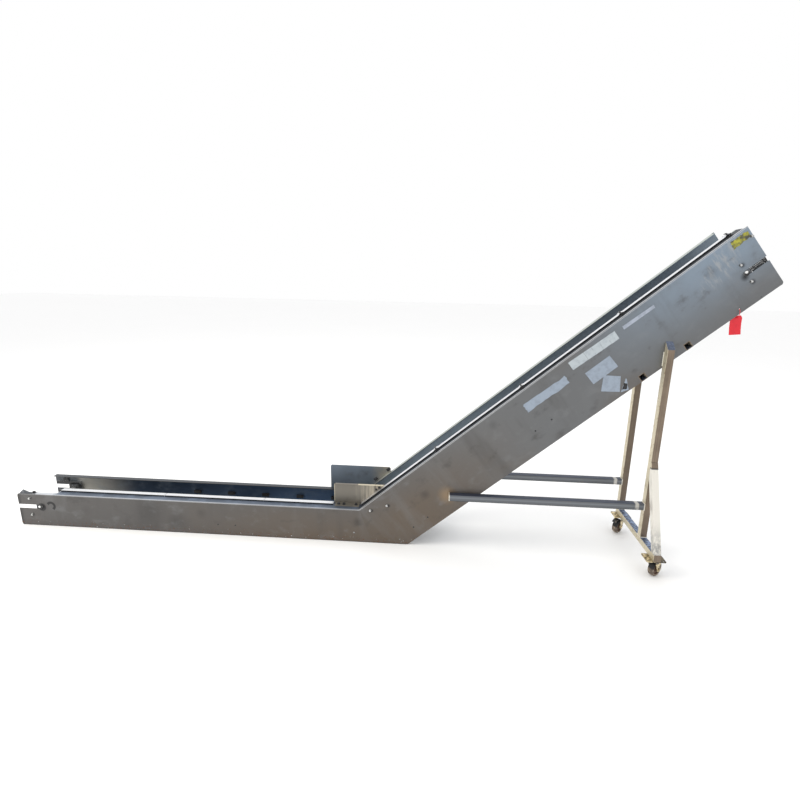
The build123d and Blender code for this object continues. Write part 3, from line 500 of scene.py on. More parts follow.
def brace_tone(x, z, upward, cloudy, hues):
    """The braces' colour: a lighter ridge along the side, a dark foot, tops painted bluish with the sky's
    reflection and a pale mottled place by the leg.
    """
    up, from_leg = z - BRACE_LOW.z, LEG.x - x
    ridge = up.ramp(0.016, 0.020) * up.ramp(0.030, 0.026)
    tone = (ridge * 0.4).mix(hues.brace, shade(hues.brace, 2.0))
    tone = tone.blend(up.ramp(0.007, 0.002), hues.brace, 0.45)
    # Painted sky reflection on the braces' tops
    tone = tone.blend(upward, hues.brace_top)
    mottled_patch = from_leg.ramp(0.056, 0.046) * from_leg.ramp(0.028, 0.034) * cloudy.ramp(0.3, 0.5)
    return tone.blend(mottled_patch * 0.6, hues.outrigger)


def plated_finish(hues):
    """Zinc plated caster plates and forks: cream to the infeed side, with grimy blotches, and the plates
    painted dark with shade on the other side.
    """
    finish = Finish("zinc_plate", 0.7)
    x, _, z = finish.axes()
    blotch = finish.spot().noise(60, 5, 0.7)
    tone = blotch.ramp(0.48, 0.58).mix(hues.zinc, shade(hues.zinc, 2.0))
    tone = tone.blend(blotch.ramp(0.46, 0.38), hues.darkening)
    # Painted shade on the caster plates beyond the leg's infeed side
    tone = tone.blend((x - LEG.x).ramp(0.0, 0.020) * z.ramp(0.084, 0.088) * 0.85, hues.darkening)
    return finish.coat(tone, 0.28 + blotch * 0.24, finish.spot().noise(420), 0.2, 0.0006)


def tread_finish(hues):
    """Wheel tread: dusty brown low down and painted black above as shade."""
    finish = Finish("wheel_tread")
    dust = finish.spot().noise(46, 5, 0.65)
    tone = dust.ramp(0.4, 0.65).mix(hues.tyre, hues.dust)
    # Painted shade: the tread black above
    tone = tone.blend(finish.axes()[2].ramp(0.046, 0.058), hues.black)
    return finish.coat(tone, 0.62 + dust * 0.24, finish.spot().noise(420), 0.2, 0.0006)


def cast_finish(name, colour, speck, rough, metallic=0.2):
    """Cast, moulded or plated piece with a fine skin, dust and rubbed places."""
    finish = Finish(name, metallic)
    dust = finish.spot().noise(46, 5, 0.65)
    tone = (dust.ramp(0.5, 0.78) * 0.7).mix(colour, speck)
    tone = tone.blend((1 - dust.ramp(0.25, 0.42)) * 0.4, shade(colour, 0.5))
    return finish.coat(tone, rough - 0.12 + dust * 0.24, finish.spot().noise(420), 0.2, 0.0006)


def paper_finish(name, colour, stain, wear, clean=0.42):
    """Plastic label, left blank: stained, with faint wrinkles. clean is how far stains hold off."""
    finish = Finish(name)
    stains = finish.spot().noise(30, 5, 0.65)
    wrinkle = finish.spot().noise(1, stretch=(60, 10, 120))
    tone = (stains.ramp(clean, clean + 0.26) * wear).mix(colour, stain)
    return finish.coat(tone, 0.42 + stains * 0.2, wrinkle, 0.25, 0.0008)


# Modelling helpers
def alone(piece):
    bpy.ops.object.select_all(action="DESELECT")
    piece.select_set(True)
    bpy.context.view_layer.objects.active = piece


def start(kind, name, **how):
    """Adds a primitive with nothing else selected."""
    bpy.ops.object.select_all(action="DESELECT")
    getattr(bpy.ops.mesh, f"primitive_{kind}_add")(**how)
    piece = bpy.context.object
    piece.name = piece.data.name = name
    return piece


def rod(name, sides, radius, height, middle=0.0):
    """Adds an upright cylinder with its middle at a place on Z."""
    return start("cylinder", name, vertices=sides, radius=radius, depth=height, location=(0, 0, middle))


@contextmanager
def editing(piece, test):
    """Edit mode on one piece, with the faces that pass the test selected."""
    alone(piece)
    bpy.ops.object.mode_set(mode="EDIT")
    bpy.ops.mesh.select_mode(type="FACE")
    choose(piece, test)
    yield
    bpy.ops.object.mode_set(mode="OBJECT")


def choose(piece, test):
    """In edit mode, selects only the faces that pass the test."""
    bpy.ops.mesh.select_all(action="DESELECT")
    shape = bmesh.from_edit_mesh(piece.data)
    for face in shape.faces:
        if test(face):
            face.select_set(True)
    shape.select_flush(True)
    bmesh.update_edit_mesh(piece.data)


def pull(*move):
    """In edit mode, extrudes the chosen faces."""
    bpy.ops.mesh.extrude_region_move(TRANSFORM_OT_translate={"value": move})


def inset(thickness, depth=0.0):
    """In edit mode, insets the chosen faces."""
    bpy.ops.mesh.inset(thickness=thickness, depth=depth)


def modified(piece, kind, **settings):
    """Adds a modifier and applies it."""
    alone(piece)
    made = piece.modifiers.new(kind.title(), kind)
    for name, value in settings.items():
        setattr(made, name, value)
    bpy.ops.object.modifier_apply(modifier=made.name)


def bevelled(piece, width, segments=2, angle=30):
    """Rounds the edges that turn by more than an angle."""
    modified(piece, "BEVEL", width=width, segments=segments, limit_method="ANGLE",
             angle_limit=radians(angle))


def settled(piece, place=Matrix()):
    """Moves the piece's place into its mesh, so that its object sits at the origin."""
    bpy.context.view_layer.update()
    piece.data.transform(place @ piece.matrix_world)
    piece.matrix_world = Matrix()
    return piece


def repeated(pattern, places, name):
    """One piece made of a copy of the pattern at each place. The pattern goes."""
    settled(pattern)
    twins = []
    for place in places:
        twin = pattern.copy()
        twin.data = pattern.data.copy()
        bpy.context.collection.objects.link(twin)
        twin.data.transform(place)
        twins.append(twin)
    bpy.data.objects.remove(pattern)
    return joined(twins, name)


def joined(pieces, name):
    bpy.ops.object.select_all(action="DESELECT")
    for piece in pieces:
        piece.select_set(True)
    bpy.context.view_layer.objects.active = pieces[0]
    if len(pieces) > 1:
        bpy.ops.object.join()
    pieces[0].name = pieces[0].data.name = name
    return pieces[0]


def dressed(piece, finish, body="frame", angle=35):
    """Gives the piece its finish, by name, and its body, and smooths it up to an angle."""
    piece.data.materials.clear()
    piece.data.materials.append(FINISHES[finish])
    alone(piece)
    bpy.ops.object.shade_smooth_by_angle(angle=radians(angle))
    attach(piece, body)
    return piece


def placed(place, angle=0.0, axis="Y"):
    """Matrix that turns a piece about an axis and stands it at a place."""
    return Matrix.Translation(place) @ Matrix.Rotation(angle, 4, axis)


def facing(x, z, side):
    """Matrix that stands a piece on the outer face of the near (-1) or far (1) sheet."""
    return placed((x, face_y(side), z), -side * pi / 2, "X")


def up_slope(along, drop, y, angle=-SLOPE, axis="Y"):
    """Matrix that stands a piece at a place on the incline, sloped as the incline is."""
    x, z = on_incline(along, drop)
    return placed((x, y, z), angle, axis)


def washer(radius, height):
    """Washer under a bolt head of this height."""
    ring = rod("washer", 24, radius, height * 0.2, height * 0.1)
    bevelled(ring, height * 0.06, 1)
    return ring


def socket_bolt(radius, height, name):
    """Button head bolt on its washer, its axis on Z, with a round socket."""
    ring = washer(radius * 1.3, height)
    head = rod("head", 24, radius, height, height * 0.7)
    with editing(head, lambda face: face.normal.z > 0.9):
        inset(radius * 0.45)
        pull(0, 0, -height * 0.5)
    bevelled(head, radius * 0.22, 3, 60)
    return joined([head, ring], name)


def hex_bolt(radius, height, name):
    """Hexagon head bolt on its washer, its axis on Z."""
    ring = washer(radius * 1.15, height)
    head = rod("head", 6, radius, height * 0.8, height * 0.6)
    with editing(head, lambda face: face.normal.z > 0.9):
        inset(radius * 0.14, height * 0.1)
        inset(radius * 0.2)
    bevelled(head, radius * 0.05, angle=40)
    return joined([head, ring], name)


def hex_nut(radius, height, bore):
    """Hexagon nut with chamfered corners, its axis on Z."""
    nut = rod("nut", 6, radius, height, height / 2)
    with editing(nut, lambda face: abs(face.normal.z) > 0.9):
        inset(radius - bore)
    bevelled(nut, radius * 0.1, angle=50)
    return nut


def ribbed_bar(length, radius, pitch, depth, name, sides, uneven=0.0, seed=3):
    """Bar along Z from 0 to its length, ringed by ridges a pitch apart."""
    chance = random.Random(seed)
    count = max(2, round(length / pitch))
    rise = length / count / 2
    bar = settled(rod(name, sides, radius - depth, rise, rise / 2))
    with editing(bar, lambda face: face.normal.z > 0.9):
        for ring in range(2 * count - 1):
            size = radius if ring % 2 == 0 else radius - depth
            size *= 1 + chance.uniform(-uneven, uneven)
            pull(0, 0, rise)
            now = max(vert.co.xy.length for vert in bmesh.from_edit_mesh(bar.data).verts if vert.select)
            bpy.ops.transform.resize(value=(size / now, size / now, 1), center_override=(0, 0, 0))
    return bar


def plate(name, corners, thick, cuts, curl=0.0, ragged=0.0, seed=1):
    """Thin label on the near sheet's face. Its corners are along and drop on the incline."""
    chance = random.Random(seed)
    piece = start("grid", name, x_subdivisions=cuts, y_subdivisions=cuts, size=2)
    a, b, c, d = (Vector(on_incline(*corner)) for corner in corners)
    for vert in piece.data.vertices:
        u, v = (vert.co.x + 1) / 2, (1 - vert.co.y) / 2
        flat = (a * (1 - u) + b * u) * (1 - v) + (d * (1 - u) + c * u) * v
        rim = u < 0.01 or u > 0.99 or v < 0.01 or v > 0.99
        lift = thick * 0.3 + curl * (max(0, abs(u - 0.5) * 2 - 0.6) * max(0, abs(v - 0.5) * 2 - 0.6))
        wobble = ragged if rim else 0
        vert.co = (flat.x + chance.uniform(-wobble, wobble), NEAR_Y - lift,
                   flat.y + chance.uniform(-wobble, wobble))
    faces_out = sum(face.normal.y for face in piece.data.polygons) < 0
    modified(piece, "SOLIDIFY", thickness=thick, offset=1 if faces_out else -1)
    bevelled(piece, thick * 0.3, 1)
    return piece


# Sizes and colours that a user would change
def length(name, value, words):
    return FloatProperty(name=name, description=words, default=value, unit="LENGTH", subtype="DISTANCE")


def tint(name, value, words):
    return FloatVectorProperty(name=name, description=words, default=value, subtype="COLOR",
                               size=3, min=0, max=1)


class ConveyorSizes(bpy.types.PropertyGroup):
    bolt_radius: length("Bolt head radius", 0.0068, "Radius of the sheet bolts' heads")
    bolt_height: length("Bolt head height", 0.0062, "Height of the sheet bolts' heads")
    plug_radius: length("Pan screw radius", 0.005, "Radius of the sunk screws of the pans")
    weld_radius: length("Weld radius", 0.0032, "Radius of the stand's weld beads")
    weld_pitch: length("Weld ripple", 0.0042, "Distance between a weld's ripples")
    thread_pitch: length("Thread pitch", 0.003, "Distance between the screws' threads")
    label_thick: length("Label thickness", 0.0008, "Thickness of the labels")
    sign_tiles: IntProperty(name="Sign tiles", description="Number of tiles in the sign strip",
                            default=6, min=1)
    tag_width: length("Tag width", 0.063, "Width of the hang tag")
    tag_height: length("Tag height", 0.100, "Height of the hang tag")


class ConveyorColours(bpy.types.PropertyGroup):
    sheet_level: tint("Level sheet", (0.112, 0.107, 0.104), "Side sheets along the level section")
    sheet_middle: tint("Incline sheet", (0.155, 0.159, 0.163), "Side sheets in the middle of the incline")
    # Painted reflection of the sky on the side sheets near the discharge end
    sheet_head: tint("Discharge sheet", (0.260, 0.325, 0.400), "Side sheets near the discharge end")
    sheet_warm: tint("Elbow sheet", (0.135, 0.108, 0.084), "Warm smudges round the elbow")
    scorch: tint("Weld scorch", (0.290, 0.205, 0.125), "Heat tint on the sheet round the brace")
    # Also the painted shadows beside the head and elbow bolts and the head shaft
    sheet_dark: tint("Scuffs", (0.022, 0.022, 0.024), "Dark scuffs and grease on the sheets")
    rust: tint("Rust", (0.150, 0.055, 0.022), "Rust specks along the level bottom edge")
    sheet_scratch: tint("Scratches", (0.42, 0.42, 0.42), "Scratches in the side sheets")
    # Painted highlight: the bright line along the folds and the near flange's rim, and the glints along
    # the bottom edge
    fold: tint("Fold", (0.72, 0.74, 0.77), "Bright line along the folds")
    # Painted sky reflection on the near flange along the level section
    flange_level: tint("Level flange", (0.105, 0.128, 0.170), "Top flange along the level section")
    # Painted shade on the near flange up the incline
    flange_slant: tint("Incline flange", (0.035, 0.040, 0.048), "Top flange along the incline")
    flange_far: tint("Far flange", (0.075, 0.082, 0.092), "Top flange of the far sheet")
    # Painted sky reflection on the far flange up the incline
    flange_far_slant: tint("Far incline flange", (0.42, 0.45, 0.42), "Far sheet's flange up the incline")
    # The far sheet's inside is painted with the reflection of the surroundings
    well_end: tint("Well at the infeed", (0.34, 0.33, 0.30), "Inside of the far sheet at the infeed end")
    well: tint("Well", (0.050, 0.085, 0.150), "Inside of the far sheet along the level section")
    well_slant: tint("Well of the incline", (0.330, 0.400, 0.470), "Inside of the far sheet, incline")
    rail: tint("Edge rail", (0.80, 0.81, 0.83), "Edge rail and its clips")
    panel: tint("Near panel", (0.19, 0.175, 0.15), "Near hopper panel")
    panel_light: tint("Panel streaks", (0.48, 0.43, 0.34), "Light streaks and dust of the hopper panels")
    # Painted highlight on the near panel's edges
    panel_edge: tint("Panel edge", (0.62, 0.56, 0.42), "Bright edges of the near hopper panel")
    panel_far: tint("Far panel", (0.160, 0.195, 0.240), "Far hopper panel")
    tube: tint("Tube", (0.175, 0.135, 0.100), "Legs and crossbar of the stand")
    # Painted light on the tubes' infeed sides
    tube_side: tint("Tube sides", (0.62, 0.56, 0.42), "Bright sides of the legs and the crossbar")
    # Painted sky reflection on the tubes' tops
    tube_top: tint("Tube tops", (0.085, 0.110, 0.165), "Tops of the legs and the crossbar")
    brace: tint("Brace", (0.130, 0.140, 0.152), "Braces of the stand")
    # Painted sky reflection on the braces' tops
    brace_top: tint("Brace tops", (0.055, 0.065, 0.095), "Tops of the braces")
    # Painted highlight: the outrigger's face near white
    outrigger: tint("Outrigger", (0.80, 0.77, 0.70), "Outrigger of the stand")
    heat_tint: tint("Heat tint", (0.30, 0.22, 0.12), "Heat tint and grime on the tubes")
    weld: tint("Weld", (0.78, 0.75, 0.66), "Weld beads")
    steel: tint("Bolt steel", (0.70, 0.70, 0.69), "Bolts, shafts and screws")
    # Also the painted shade on the bolts' sides, the rail's near side, the shafts' near faces and the
    # outrigger's lap
    dark_steel: tint("Dark steel", (0.045, 0.045, 0.047), "Dark bolts and the bearing housings")
    zinc: tint("Zinc", (0.42, 0.35, 0.22), "Casters' plates and forks")
    # Dark colour for the casters' grimy blotches and for the painted shade on their plates
    darkening: tint("Grime", (0.040, 0.032, 0.024), "Grime on the casters")
    tyre: tint("Tyre", (0.095, 0.070, 0.052), "Casters' tread")
    hub: tint("Hub", (0.11, 0.062, 0.038), "Casters' wheel centres")
    dust: tint("Dust", (0.32, 0.26, 0.20), "Dust on the casters")
    # Black also stands for the painted shade on the tread's top
    black: tint("Black", (0.012, 0.012, 0.013), "Bearer blocks and brake levers")
    sign: tint("Sign", (0.46, 0.51, 0.54), "Sign tiles")
    label: tint("Label", (0.30, 0.355, 0.43), "White labels")
    pale: tint("Pale strip", (0.38, 0.42, 0.50), "Pale strip label")
    stain: tint("Stain", (0.22, 0.25, 0.30), "Stains of the labels")
    yellow: tint("Yellow", (0.42, 0.40, 0.035), "Yellow label")
    red: tint("Red", (0.72, 0.015, 0.03), "Hang tag")
    floor: tint("Floor", (0.97, 0.97, 0.97), "Floor")


FINISHES = {}


class CONVEYOR_OT_finishes(bpy.types.Operator):
    """Makes the finishes and gives every CAD node its own"""

    bl_idname = "conveyor.finishes"
    bl_label = "Finishes"

    def execute(self, context):
        hues = context.scene.conveyor_colours
        FINISHES.update({
            "sheet": sheet_finish(hues),
            "rail": rail_finish(hues),
            "panel": panel_finish(hues),
            "pan": pan_finish(hues),
            "tube": tube_finish(hues),
            "bearing": cast_finish("cast_housing", hues.dark_steel, hues.label, 0.55),
            "shafting": shaft_finish(hues),
            "bolt": bolt_finish(hues),
            "bearer": cast_finish("black_block", hues.black, hues.dark_steel, 0.5, 0.0),
            "zinc": plated_finish(hues),
            "brake": cast_finish("black_lever", hues.black, hues.dust, 0.45, 0.0),
            "hub": cast_finish("wheel_centre", hues.hub, hues.dust, 0.6, 0.0),
            "tyre": tread_finish(hues),
            "weld": cast_finish("weld_bead", hues.weld, hues.heat_tint, 0.4, 0.7),
            "dark": cast_finish("dark_bolt", hues.dark_steel, hues.stain, 0.45, 0.6),
            "sign": paper_finish("sign_tile", hues.sign, hues.stain, 0.35),
            "label": paper_finish("white_label", hues.label, hues.stain, 0.6),
            "pale": paper_finish("pale_label", hues.pale, hues.stain, 0.5),
            "yellow": paper_finish("yellow_label", hues.yellow, hues.dark_steel, 0.95, 0.36),
            "black_tape": paper_finish("black_tape", hues.black, hues.dark_steel, 0.3),
            "red": paper_finish("red_tag", hues.red, shade(hues.red, 0.55), 0.25),
        })
        slots = {part["node"]: part["material_slot"] for part in frame["record"]["subparts"]}
        for name, node in frame["nodes"].items():
            node.data.materials.clear()
            node.data.materials.append(FINISHES[slots[name]])
        return {"FINISHED"}


class CONVEYOR_OT_sheet_bolts(bpy.types.Operator):
    """Bolts through both side sheets: bright at the shafts and the elbow, dark and sunk at the pans"""

    bl_idname = "conveyor.sheet_bolts"
    bl_label = "Sheet bolts"

    def execute(self, context):
        size = context.scene.conveyor_sizes
        bolts = beside(on_level, TAIL_SHAFT, down=TAIL_BOLT_REACH)
        bolts += beside(on_incline, HEAD_SHAFT, down=HEAD_BOLT_REACH)
        bolts += [on_incline(*place) for place in ELBOW_BOLTS]
        screws = beside(on_level, LEVEL_PAN, PAN_BOLT_REACH)
        for pan in INCLINE_PANS:
            screws += beside(on_incline, pan, PAN_BOLT_REACH)
        places = [facing(*place, side) for side in (-1, 1) for place in bolts]
        places.append(facing(*on_incline(*END_BOLT), -1))
        bolt = hex_bolt(size.bolt_radius, size.bolt_height, "bolt")
        dressed(repeated(bolt, places, "sheet_bolts"), "bolt")
        sunk = Matrix.Translation((0, 0, -0.0025))
        places = [facing(*place, side) @ sunk for side in (-1, 1) for place in screws]
        screw = rod("screw", 20, size.plug_radius, 0.004)
        with editing(screw, lambda face: face.normal.z > 0.9):
            inset(size.plug_radius * 0.5, -0.0012)
        dressed(repeated(screw, places, "pan_screws"), "dark")
        return {"FINISHED"}


class CONVEYOR_OT_labels(bpy.types.Operator):
    """Blank sign tiles, labels and scraps on the near side sheet"""

    bl_idname = "conveyor.labels"
    bl_label = "Labels"

    def execute(self, context):
        size = context.scene.conveyor_sizes
        thick = size.label_thick
        step = (SIGN_END - SIGN_START) / size.sign_tiles
        slip = Vector((-0.001, 0))
        chance = random.Random(5)
        tiles = []
        for index in range(size.sign_tiles):
            low = SIGN_START + step * index + Vector((0, chance.uniform(-0.0015, 0.0015)))
            high = low + step * 0.985
            down = Vector((0, SIGN_DEPTH))
            corners = [low, high, high + slip + down * 0.98, low + slip + down]
            tiles.append(plate(f"tile_{index}", corners, thick, 3, ragged=0.0006, seed=index))
        dressed(joined(tiles, "sign_tiles"), "sign")
        labels = (
            ("torn_strip", "label", [(1.149, 0.068), (1.422, 0.074), (1.421, 0.121), (1.147, 0.119)],
             (thick, 14, 0.002, 0.003, 7)),
            ("white_label", "label", [(1.515, 0.128), (1.671, 0.127), (1.674, 0.204), (1.517, 0.206)],
             (thick, 8, 0.002)),
            ("square_label", "label", [(1.587, 0.198), (1.655, 0.258), (1.603, 0.328), (1.526, 0.264)],
             (thick, 8, 0.001)),
            ("white_scrap", "label", [(1.668, 0.286), (1.672, 0.288), (1.646, 0.346), (1.605, 0.333)],
             (thick, 5, 0.001, 0.001)),
            ("black_scrap", "black_tape", [(1.650, 0.300), (1.660, 0.316), (1.642, 0.336), (1.620, 0.326)],
             (thick * 2.2, 4, 0.0, 0.002, 9)),
            ("pale_strip", "pale", [(1.808, 0.038), (1.994, 0.043), (1.993, 0.060), (1.807, 0.058)],
             (thick, 8, 0.001)),
            ("yellow_label", "yellow", [(2.449, 0.015), (2.543, 0.020), (2.541, 0.052), (2.447, 0.056)],
             (thick, 12, 0.001, 0.003, 4)),
        )
        for name, finish, corners, how in labels:
            dressed(plate(name, corners, *how), finish)
        return {"FINISHED"}


class CONVEYOR_OT_hang_tag(bpy.types.Operator):
    """Blank red tag on a tie through the hole near the discharge end"""

    bl_idname = "conveyor.hang_tag"
    bl_label = "Hang tag"

    def execute(self, context):
        size = context.scene.conveyor_sizes
        x, z = on_incline(*TAG_HOLE)
        reach, fall, wire = 0.021, 0.024, 0.02
        centre = Vector((x, NEAR_Y + 0.012, z - 0.866 * fall))
        tie = start("torus", "tag_tie", major_segments=28, minor_segments=8, major_radius=1.0,
                    minor_radius=0.06, rotation=(0, pi / 2, 0))
        settled(tie)
        for vert in tie.data.vertices:
            spot = Vector((vert.co.y, vert.co.z))
            ring = spot.normalized()
            thick = (spot - ring) * wire
            vert.co = (centre.x + vert.co.x * wire, centre.y + ring.x * reach + thick.x,
                       centre.z + ring.y * fall + thick.y)
        dressed(tie, "red", angle=60)
        tag = start("grid", "hang_tag", x_subdivisions=8, y_subdivisions=12, size=1)
        for vert in tag.data.vertices:
            u, v = vert.co.x, 0.5 - vert.co.y
            narrow = 1.0 - 0.32 * max(0.0, 1 - v / 0.12)
            wave = 0.004 * sin(v * 3.0) + 0.003 * u * u
            vert.co = (u * size.tag_width * narrow, wave, -v * size.tag_height + 0.010)
        modified(tag, "SOLIDIFY", thickness=0.0012, offset=0)
        bevelled(tag, 0.0004, 1)
        eye = (x, centre.y - 0.002, centre.z - fall)
        settled(tag, placed(eye, radians(-4)) @ Matrix.Rotation(radians(5), 4, "Z"))
        ring = start("torus", "tag_eye", major_segments=20, minor_segments=6, major_radius=0.005,
                     minor_radius=0.0012, rotation=(pi / 2, 0, 0))
        settled(ring, placed(eye))
        dressed(joined([tag, ring], "hang_tag"), "red")
        return {"FINISHED"}


class CONVEYOR_OT_panel_bolts(bpy.types.Operator):
    """Bolts of the hopper panels and the corner tab, with the small clips that hold the far panel"""

    bl_idname = "conveyor.panel_bolts"
    bl_label = "Panel bolts"

    def execute(self, context):
        size = context.scene.conveyor_sizes
        foot_y, foot_z = PANEL_HIGH.y - 0.024, LEVEL_TOP + 0.0025
        places = [placed((INFEED_X + along, foot_y, foot_z)) for along in (2.024, 2.056, 2.132)]
        places.append(placed((INFEED_X + 0.095, NEAR_Y + 0.020, LEVEL_TOP)))
        bolt = socket_bolt(size.bolt_radius * 1.15, size.bolt_height * 1.2, "bolt")
        dressed(repeated(bolt, places, "panel_foot_bolts"), "dark")
        face = PANEL_HIGH.y - 0.0055
        places = [up_slope(along, PANEL_EDGE_DROP, face, pi / 2, "X") for along in (0.135, 0.157)]
        bolt = socket_bolt(size.bolt_radius * 0.8, size.bolt_height, "bolt")
        dressed(repeated(bolt, places, "panel_side_bolts"), "dark")
        places = [up_slope(along, PANEL_EDGE_DROP, FAR_Y) for along in (0.092, 0.200)]
        clip = start("cube", "clip", size=1, scale=(0.026, 0.006, 0.018), location=(0, -0.003, 0))
        with editing(clip, lambda face: face.normal.z < -0.9):
            inset(0.002)
            pull(0, 0, 0.004)
        bevelled(clip, 0.001)
        dressed(repeated(clip, places, "far_panel_clips"), "bearing")
        return {"FINISHED"}


class CONVEYOR_OT_clip_screws(bpy.types.Operator):
    """Screws that hold the rail's clips down, with a bent keeper over each joint"""

    bl_idname = "conveyor.clip_screws"
    bl_label = "Clip screws"

    def execute(self, context):
        size = context.scene.conveyor_sizes
        places = [up_slope(along, -0.003, RAIL_Y - 0.0105) for along in RAIL_JOINTS]
        screw = hex_bolt(size.bolt_radius * 0.75, size.bolt_height * 1.2, "screw")
        dressed(repeated(screw, places, "clip_screws"), "dark")
        keeper = start("cube", "keeper", size=1, scale=(0.010, 0.022, 0.0025),
                       location=(0, 0.006, 0.0093))
        settled(keeper)
        with editing(keeper, lambda face: face.normal.y > 0.9):
            pull(0, 0.004, 0.005)
            pull(0, 0.014, 0.0)
        bevelled(keeper, 0.0006)
        dressed(repeated(keeper, places, "clip_keepers"), "dark")
        return {"FINISHED"}


class CONVEYOR_OT_welds(bpy.types.Operator):
    """Weld beads where the stand's tubes meet each other and the side sheets"""

    bl_idname = "conveyor.welds"
    bl_label = "Welds"

    def execute(self, context):
        lines = []
        for name, side in SIDES:
            leg_low, leg_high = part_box(f"leg_{name}")
            brace_low, brace_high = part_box(f"brace_{name}")
            lines += self.square(leg_low.x, leg_high.x, leg_low.y, leg_high.y, leg_low.z, "Z")
            lines += self.square(brace_low.y, brace_high.y, brace_low.z, brace_high.z, leg_low.x, "X")
            x, y, z = brace_low.x, face_y(side), brace_low.z
            lines.append(((x, y, z + 0.003), (x, y, brace_high.z - 0.003)))
            lines.append(((x + 0.003, y, z), (x + 0.105, y, z)))
            for x in (leg_low.x, leg_high.x):
                edge = self.edge_height(x)
                lines.append(((x, y, edge + 0.012), (x, y, edge + 0.088)))
        self.beads(lines, context.scene.conveyor_sizes)
        self.caps()
        return {"FINISHED"}

    def square(self, low_a, high_a, low_b, high_b, at, axis):
        """The four sides of a tube's square end, as bead lines."""
        corners = [(low_a, low_b), (high_a, low_b), (high_a, high_b), (low_a, high_b)]
        places = [(a, b, at) if axis == "Z" else (at, a, b) for a, b in corners]
        return list(zip(places, places[1:] + places[:1]))

    def edge_height(self, x):
        """Height of the incline's bottom edge at a place along X."""
        corner_x, corner_z = on_incline(0.0, INCLINE_DEPTH)
        return corner_z + (x - corner_x) * RISE / RUN

    def beads(self, lines, size):
        """Rippled beads along the lines, joined in one piece."""
        pieces = []
        for index, (low, high) in enumerate(lines):
            run = Vector(high) - Vector(low)
            bead = ribbed_bar(run.length, size.weld_radius, size.weld_pitch, size.weld_radius * 0.25,
                              f"bead_{index}", 8, 0.08, index)
            turn = Vector((0, 0, 1)).rotation_difference(run).to_matrix().to_4x4()
            pieces.append(settled(bead, Matrix.Translation(low) @ turn))
        dressed(joined(pieces, "weld_beads"), "weld", angle=60)

    def caps(self):
        """Plates that close the braces' infeed ends, chamfered and welded on."""
        plates = []
        thick = 0.005
        for name, _ in SIDES:
            low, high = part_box(f"brace_{name}")
            middle = (low + high) / 2
            cap = start("cube", "cap", size=1, scale=(thick, high.y - low.y, high.z - low.z),
                        location=(low.x - thick / 2, middle.y, middle.z))
            settled(cap)
            with editing(cap, lambda face: face.normal.x < -0.9):
                inset(0.003, 0.0012)
            bevelled(cap, 0.001, angle=50)
            plates.append(cap)
        dressed(joined(plates, "brace_caps"), "weld")


class CONVEYOR_OT_screw_threads(bpy.types.Operator):
    """Threads and nuts of the take-up screws in the head shaft's slots"""

    bl_idname = "conveyor.screw_threads"
    bl_label = "Screw threads"

    def execute(self, context):
        pitch = context.scene.conveyor_sizes.thread_pitch
        long, radius, inward = 0.079, 0.0068, 0.015
        along, drop = HEAD_SHAFT
        for name, side in SIDES:
            y = face_y(side) - side * inward
            place = up_slope(along + 0.030, drop, y, pi / 2 - SLOPE)
            pieces = [settled(ribbed_bar(long, radius, pitch, 0.0009, "thread", 16), place)]
            for offset in (0.012, 0.064):
                nut = hex_nut(0.0115, 0.009, 0.0062)
                pieces.append(settled(nut, place @ Matrix.Translation((0, 0, offset))))
            dressed(joined(pieces, f"take_up_thread_{name}"), "shafting", angle=25)
            self.backing(side, f"take_up_backing_{name}")
        return {"FINISHED"}

    def backing(self, side, name):
        """Channel behind the slot, open to the sheet, that the screw lies in."""
        wide, wall, back = 0.046, 0.003, 0.0285
        channel = start("cube", name, size=1, scale=(0.060, wall, wide))
        settled(channel)
        with editing(channel, lambda face: abs(face.normal.z) > 0.9):
            bpy.ops.mesh.extrude_region_shrink_fatten(TRANSFORM_OT_shrink_fatten={"value": wall})
            choose(channel, lambda face: (face.normal.y * side > 0.9
                                          and abs(face.calc_center_median().z) > wide / 2))
            pull(0, side * (back - 0.005), 0)
        bevelled(channel, 0.0006)
        along, drop = HEAD_SHAFT
        settled(channel, up_slope(along + 0.076, drop, face_y(side) - side * back))
        dressed(channel, "pan")


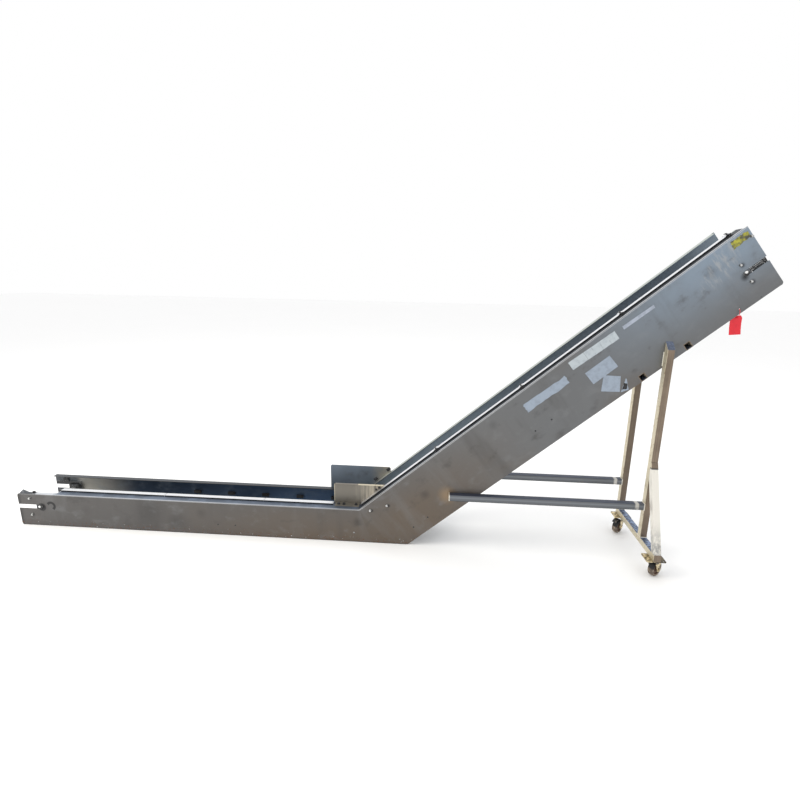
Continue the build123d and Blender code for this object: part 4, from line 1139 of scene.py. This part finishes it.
class CONVEYOR_OT_stage(bpy.types.Operator):
    """Floor, soft studio lights and the camera at the photograph's place"""

    bl_idname = "conveyor.stage"
    bl_label = "Stage"

    def execute(self, context):
        scene = context.scene
        scene.view_settings.view_transform = "Standard"
        hue = scene.conveyor_colours.floor
        floor = start("plane", "floor", size=60, location=(0, 0, -0.0005))
        finish = Finish("pale_floor")
        tone = finish.spot().noise(0.6, 2).mix(hue, shade(hue, 0.985))
        floor.data.materials.append(finish.coat(tone, 0.85))
        world = bpy.data.worlds.new("studio")
        world.use_nodes = True
        backdrop = world.node_tree.nodes["Background"]
        backdrop.inputs["Color"].default_value = (1.0, 1.0, 1.0, 1.0)
        backdrop.inputs["Strength"].default_value = 1.0
        scene.world = world
        self.lamp("key", (-4.5, -1.5, 5.0), 3.0, 180, (1.0, 0.96, 0.88))
        self.lamp("top", (1.0, 1.5, 6.0), 5.0, 60, (0.92, 0.96, 1.0))
        self.camera(scene)
        return {"FINISHED"}

    def lamp(self, name, place, size, power, colour):
        """Square area light that looks at the middle of the frame."""
        light = bpy.data.lights.new(name, "AREA")
        light.shape, light.size, light.energy, light.color = "SQUARE", size, power, colour
        lamp = bpy.data.objects.new(name, light)
        bpy.context.collection.objects.link(lamp)
        lamp.location = place
        aim = Vector((0.3, 0.0, 0.6)) - Vector(place)
        lamp.rotation_euler = aim.to_track_quat("-Z", "Y").to_euler()

    def camera(self, scene):
        """Camera fitted to the photograph: its place, turn, lens and shift."""
        place = (0.4494, -2.5093, 1.5690)
        focal, side = 450.14, 800.0
        middle_x, middle_y = 415.70, 384.60
        yaw, pitch, roll = 0.054, -0.229, 0.022
        forward = Vector((-sin(yaw) * cos(pitch), cos(yaw) * cos(pitch), sin(pitch)))
        right = Vector((cos(yaw), sin(yaw), 0))
        up = right.cross(forward)
        level_right = cos(roll) * right + sin(roll) * up
        level_up = -sin(roll) * right + cos(roll) * up
        data = bpy.data.cameras.new("photo_camera")
        data.sensor_width = 36.0
        data.lens = focal / side * data.sensor_width
        data.shift_x = (side / 2 - middle_x) / side
        data.shift_y = (middle_y - side / 2) / side
        data.clip_start, data.clip_end = 0.05, 100
        camera = bpy.data.objects.new("photo_camera", data)
        bpy.context.collection.objects.link(camera)
        turn = Matrix((level_right, level_up, -forward)).transposed().to_4x4()
        camera.matrix_world = Matrix.Translation(place) @ turn
        scene.camera = camera


OPERATORS = (
    CONVEYOR_OT_finishes,
    CONVEYOR_OT_sheet_bolts,
    CONVEYOR_OT_labels,
    CONVEYOR_OT_hang_tag,
    CONVEYOR_OT_panel_bolts,
    CONVEYOR_OT_clip_screws,
    CONVEYOR_OT_welds,
    CONVEYOR_OT_screw_threads,
    CONVEYOR_OT_stage,
)


class CONVEYOR_PT_pieces(bpy.types.Panel):
    """Lists the pieces and the sizes and colours that they take"""

    bl_label = "Conveyor frame"
    bl_idname = "CONVEYOR_PT_pieces"
    bl_space_type = "VIEW_3D"
    bl_region_type = "UI"
    bl_category = "Conveyor"

    def draw(self, context):
        for operator in OPERATORS:
            self.layout.operator(operator.bl_idname)
        for group in (context.scene.conveyor_sizes, context.scene.conveyor_colours):
            for name in group.__annotations__:
                self.layout.prop(group, name)


CLASSES = (ConveyorSizes, ConveyorColours, *OPERATORS, CONVEYOR_PT_pieces)


def register():
    for made in CLASSES:
        bpy.utils.register_class(made)
    bpy.types.Scene.conveyor_sizes = PointerProperty(type=ConveyorSizes)
    bpy.types.Scene.conveyor_colours = PointerProperty(type=ConveyorColours)


def unregister():
    del bpy.types.Scene.conveyor_colours
    del bpy.types.Scene.conveyor_sizes
    for made in reversed(CLASSES):
        bpy.utils.unregister_class(made)


def main():
    register()
    for operator in OPERATORS:
        group, name = operator.bl_idname.split(".")
        getattr(getattr(bpy.ops, group), name)()


if __name__ == "__main__":
    main()
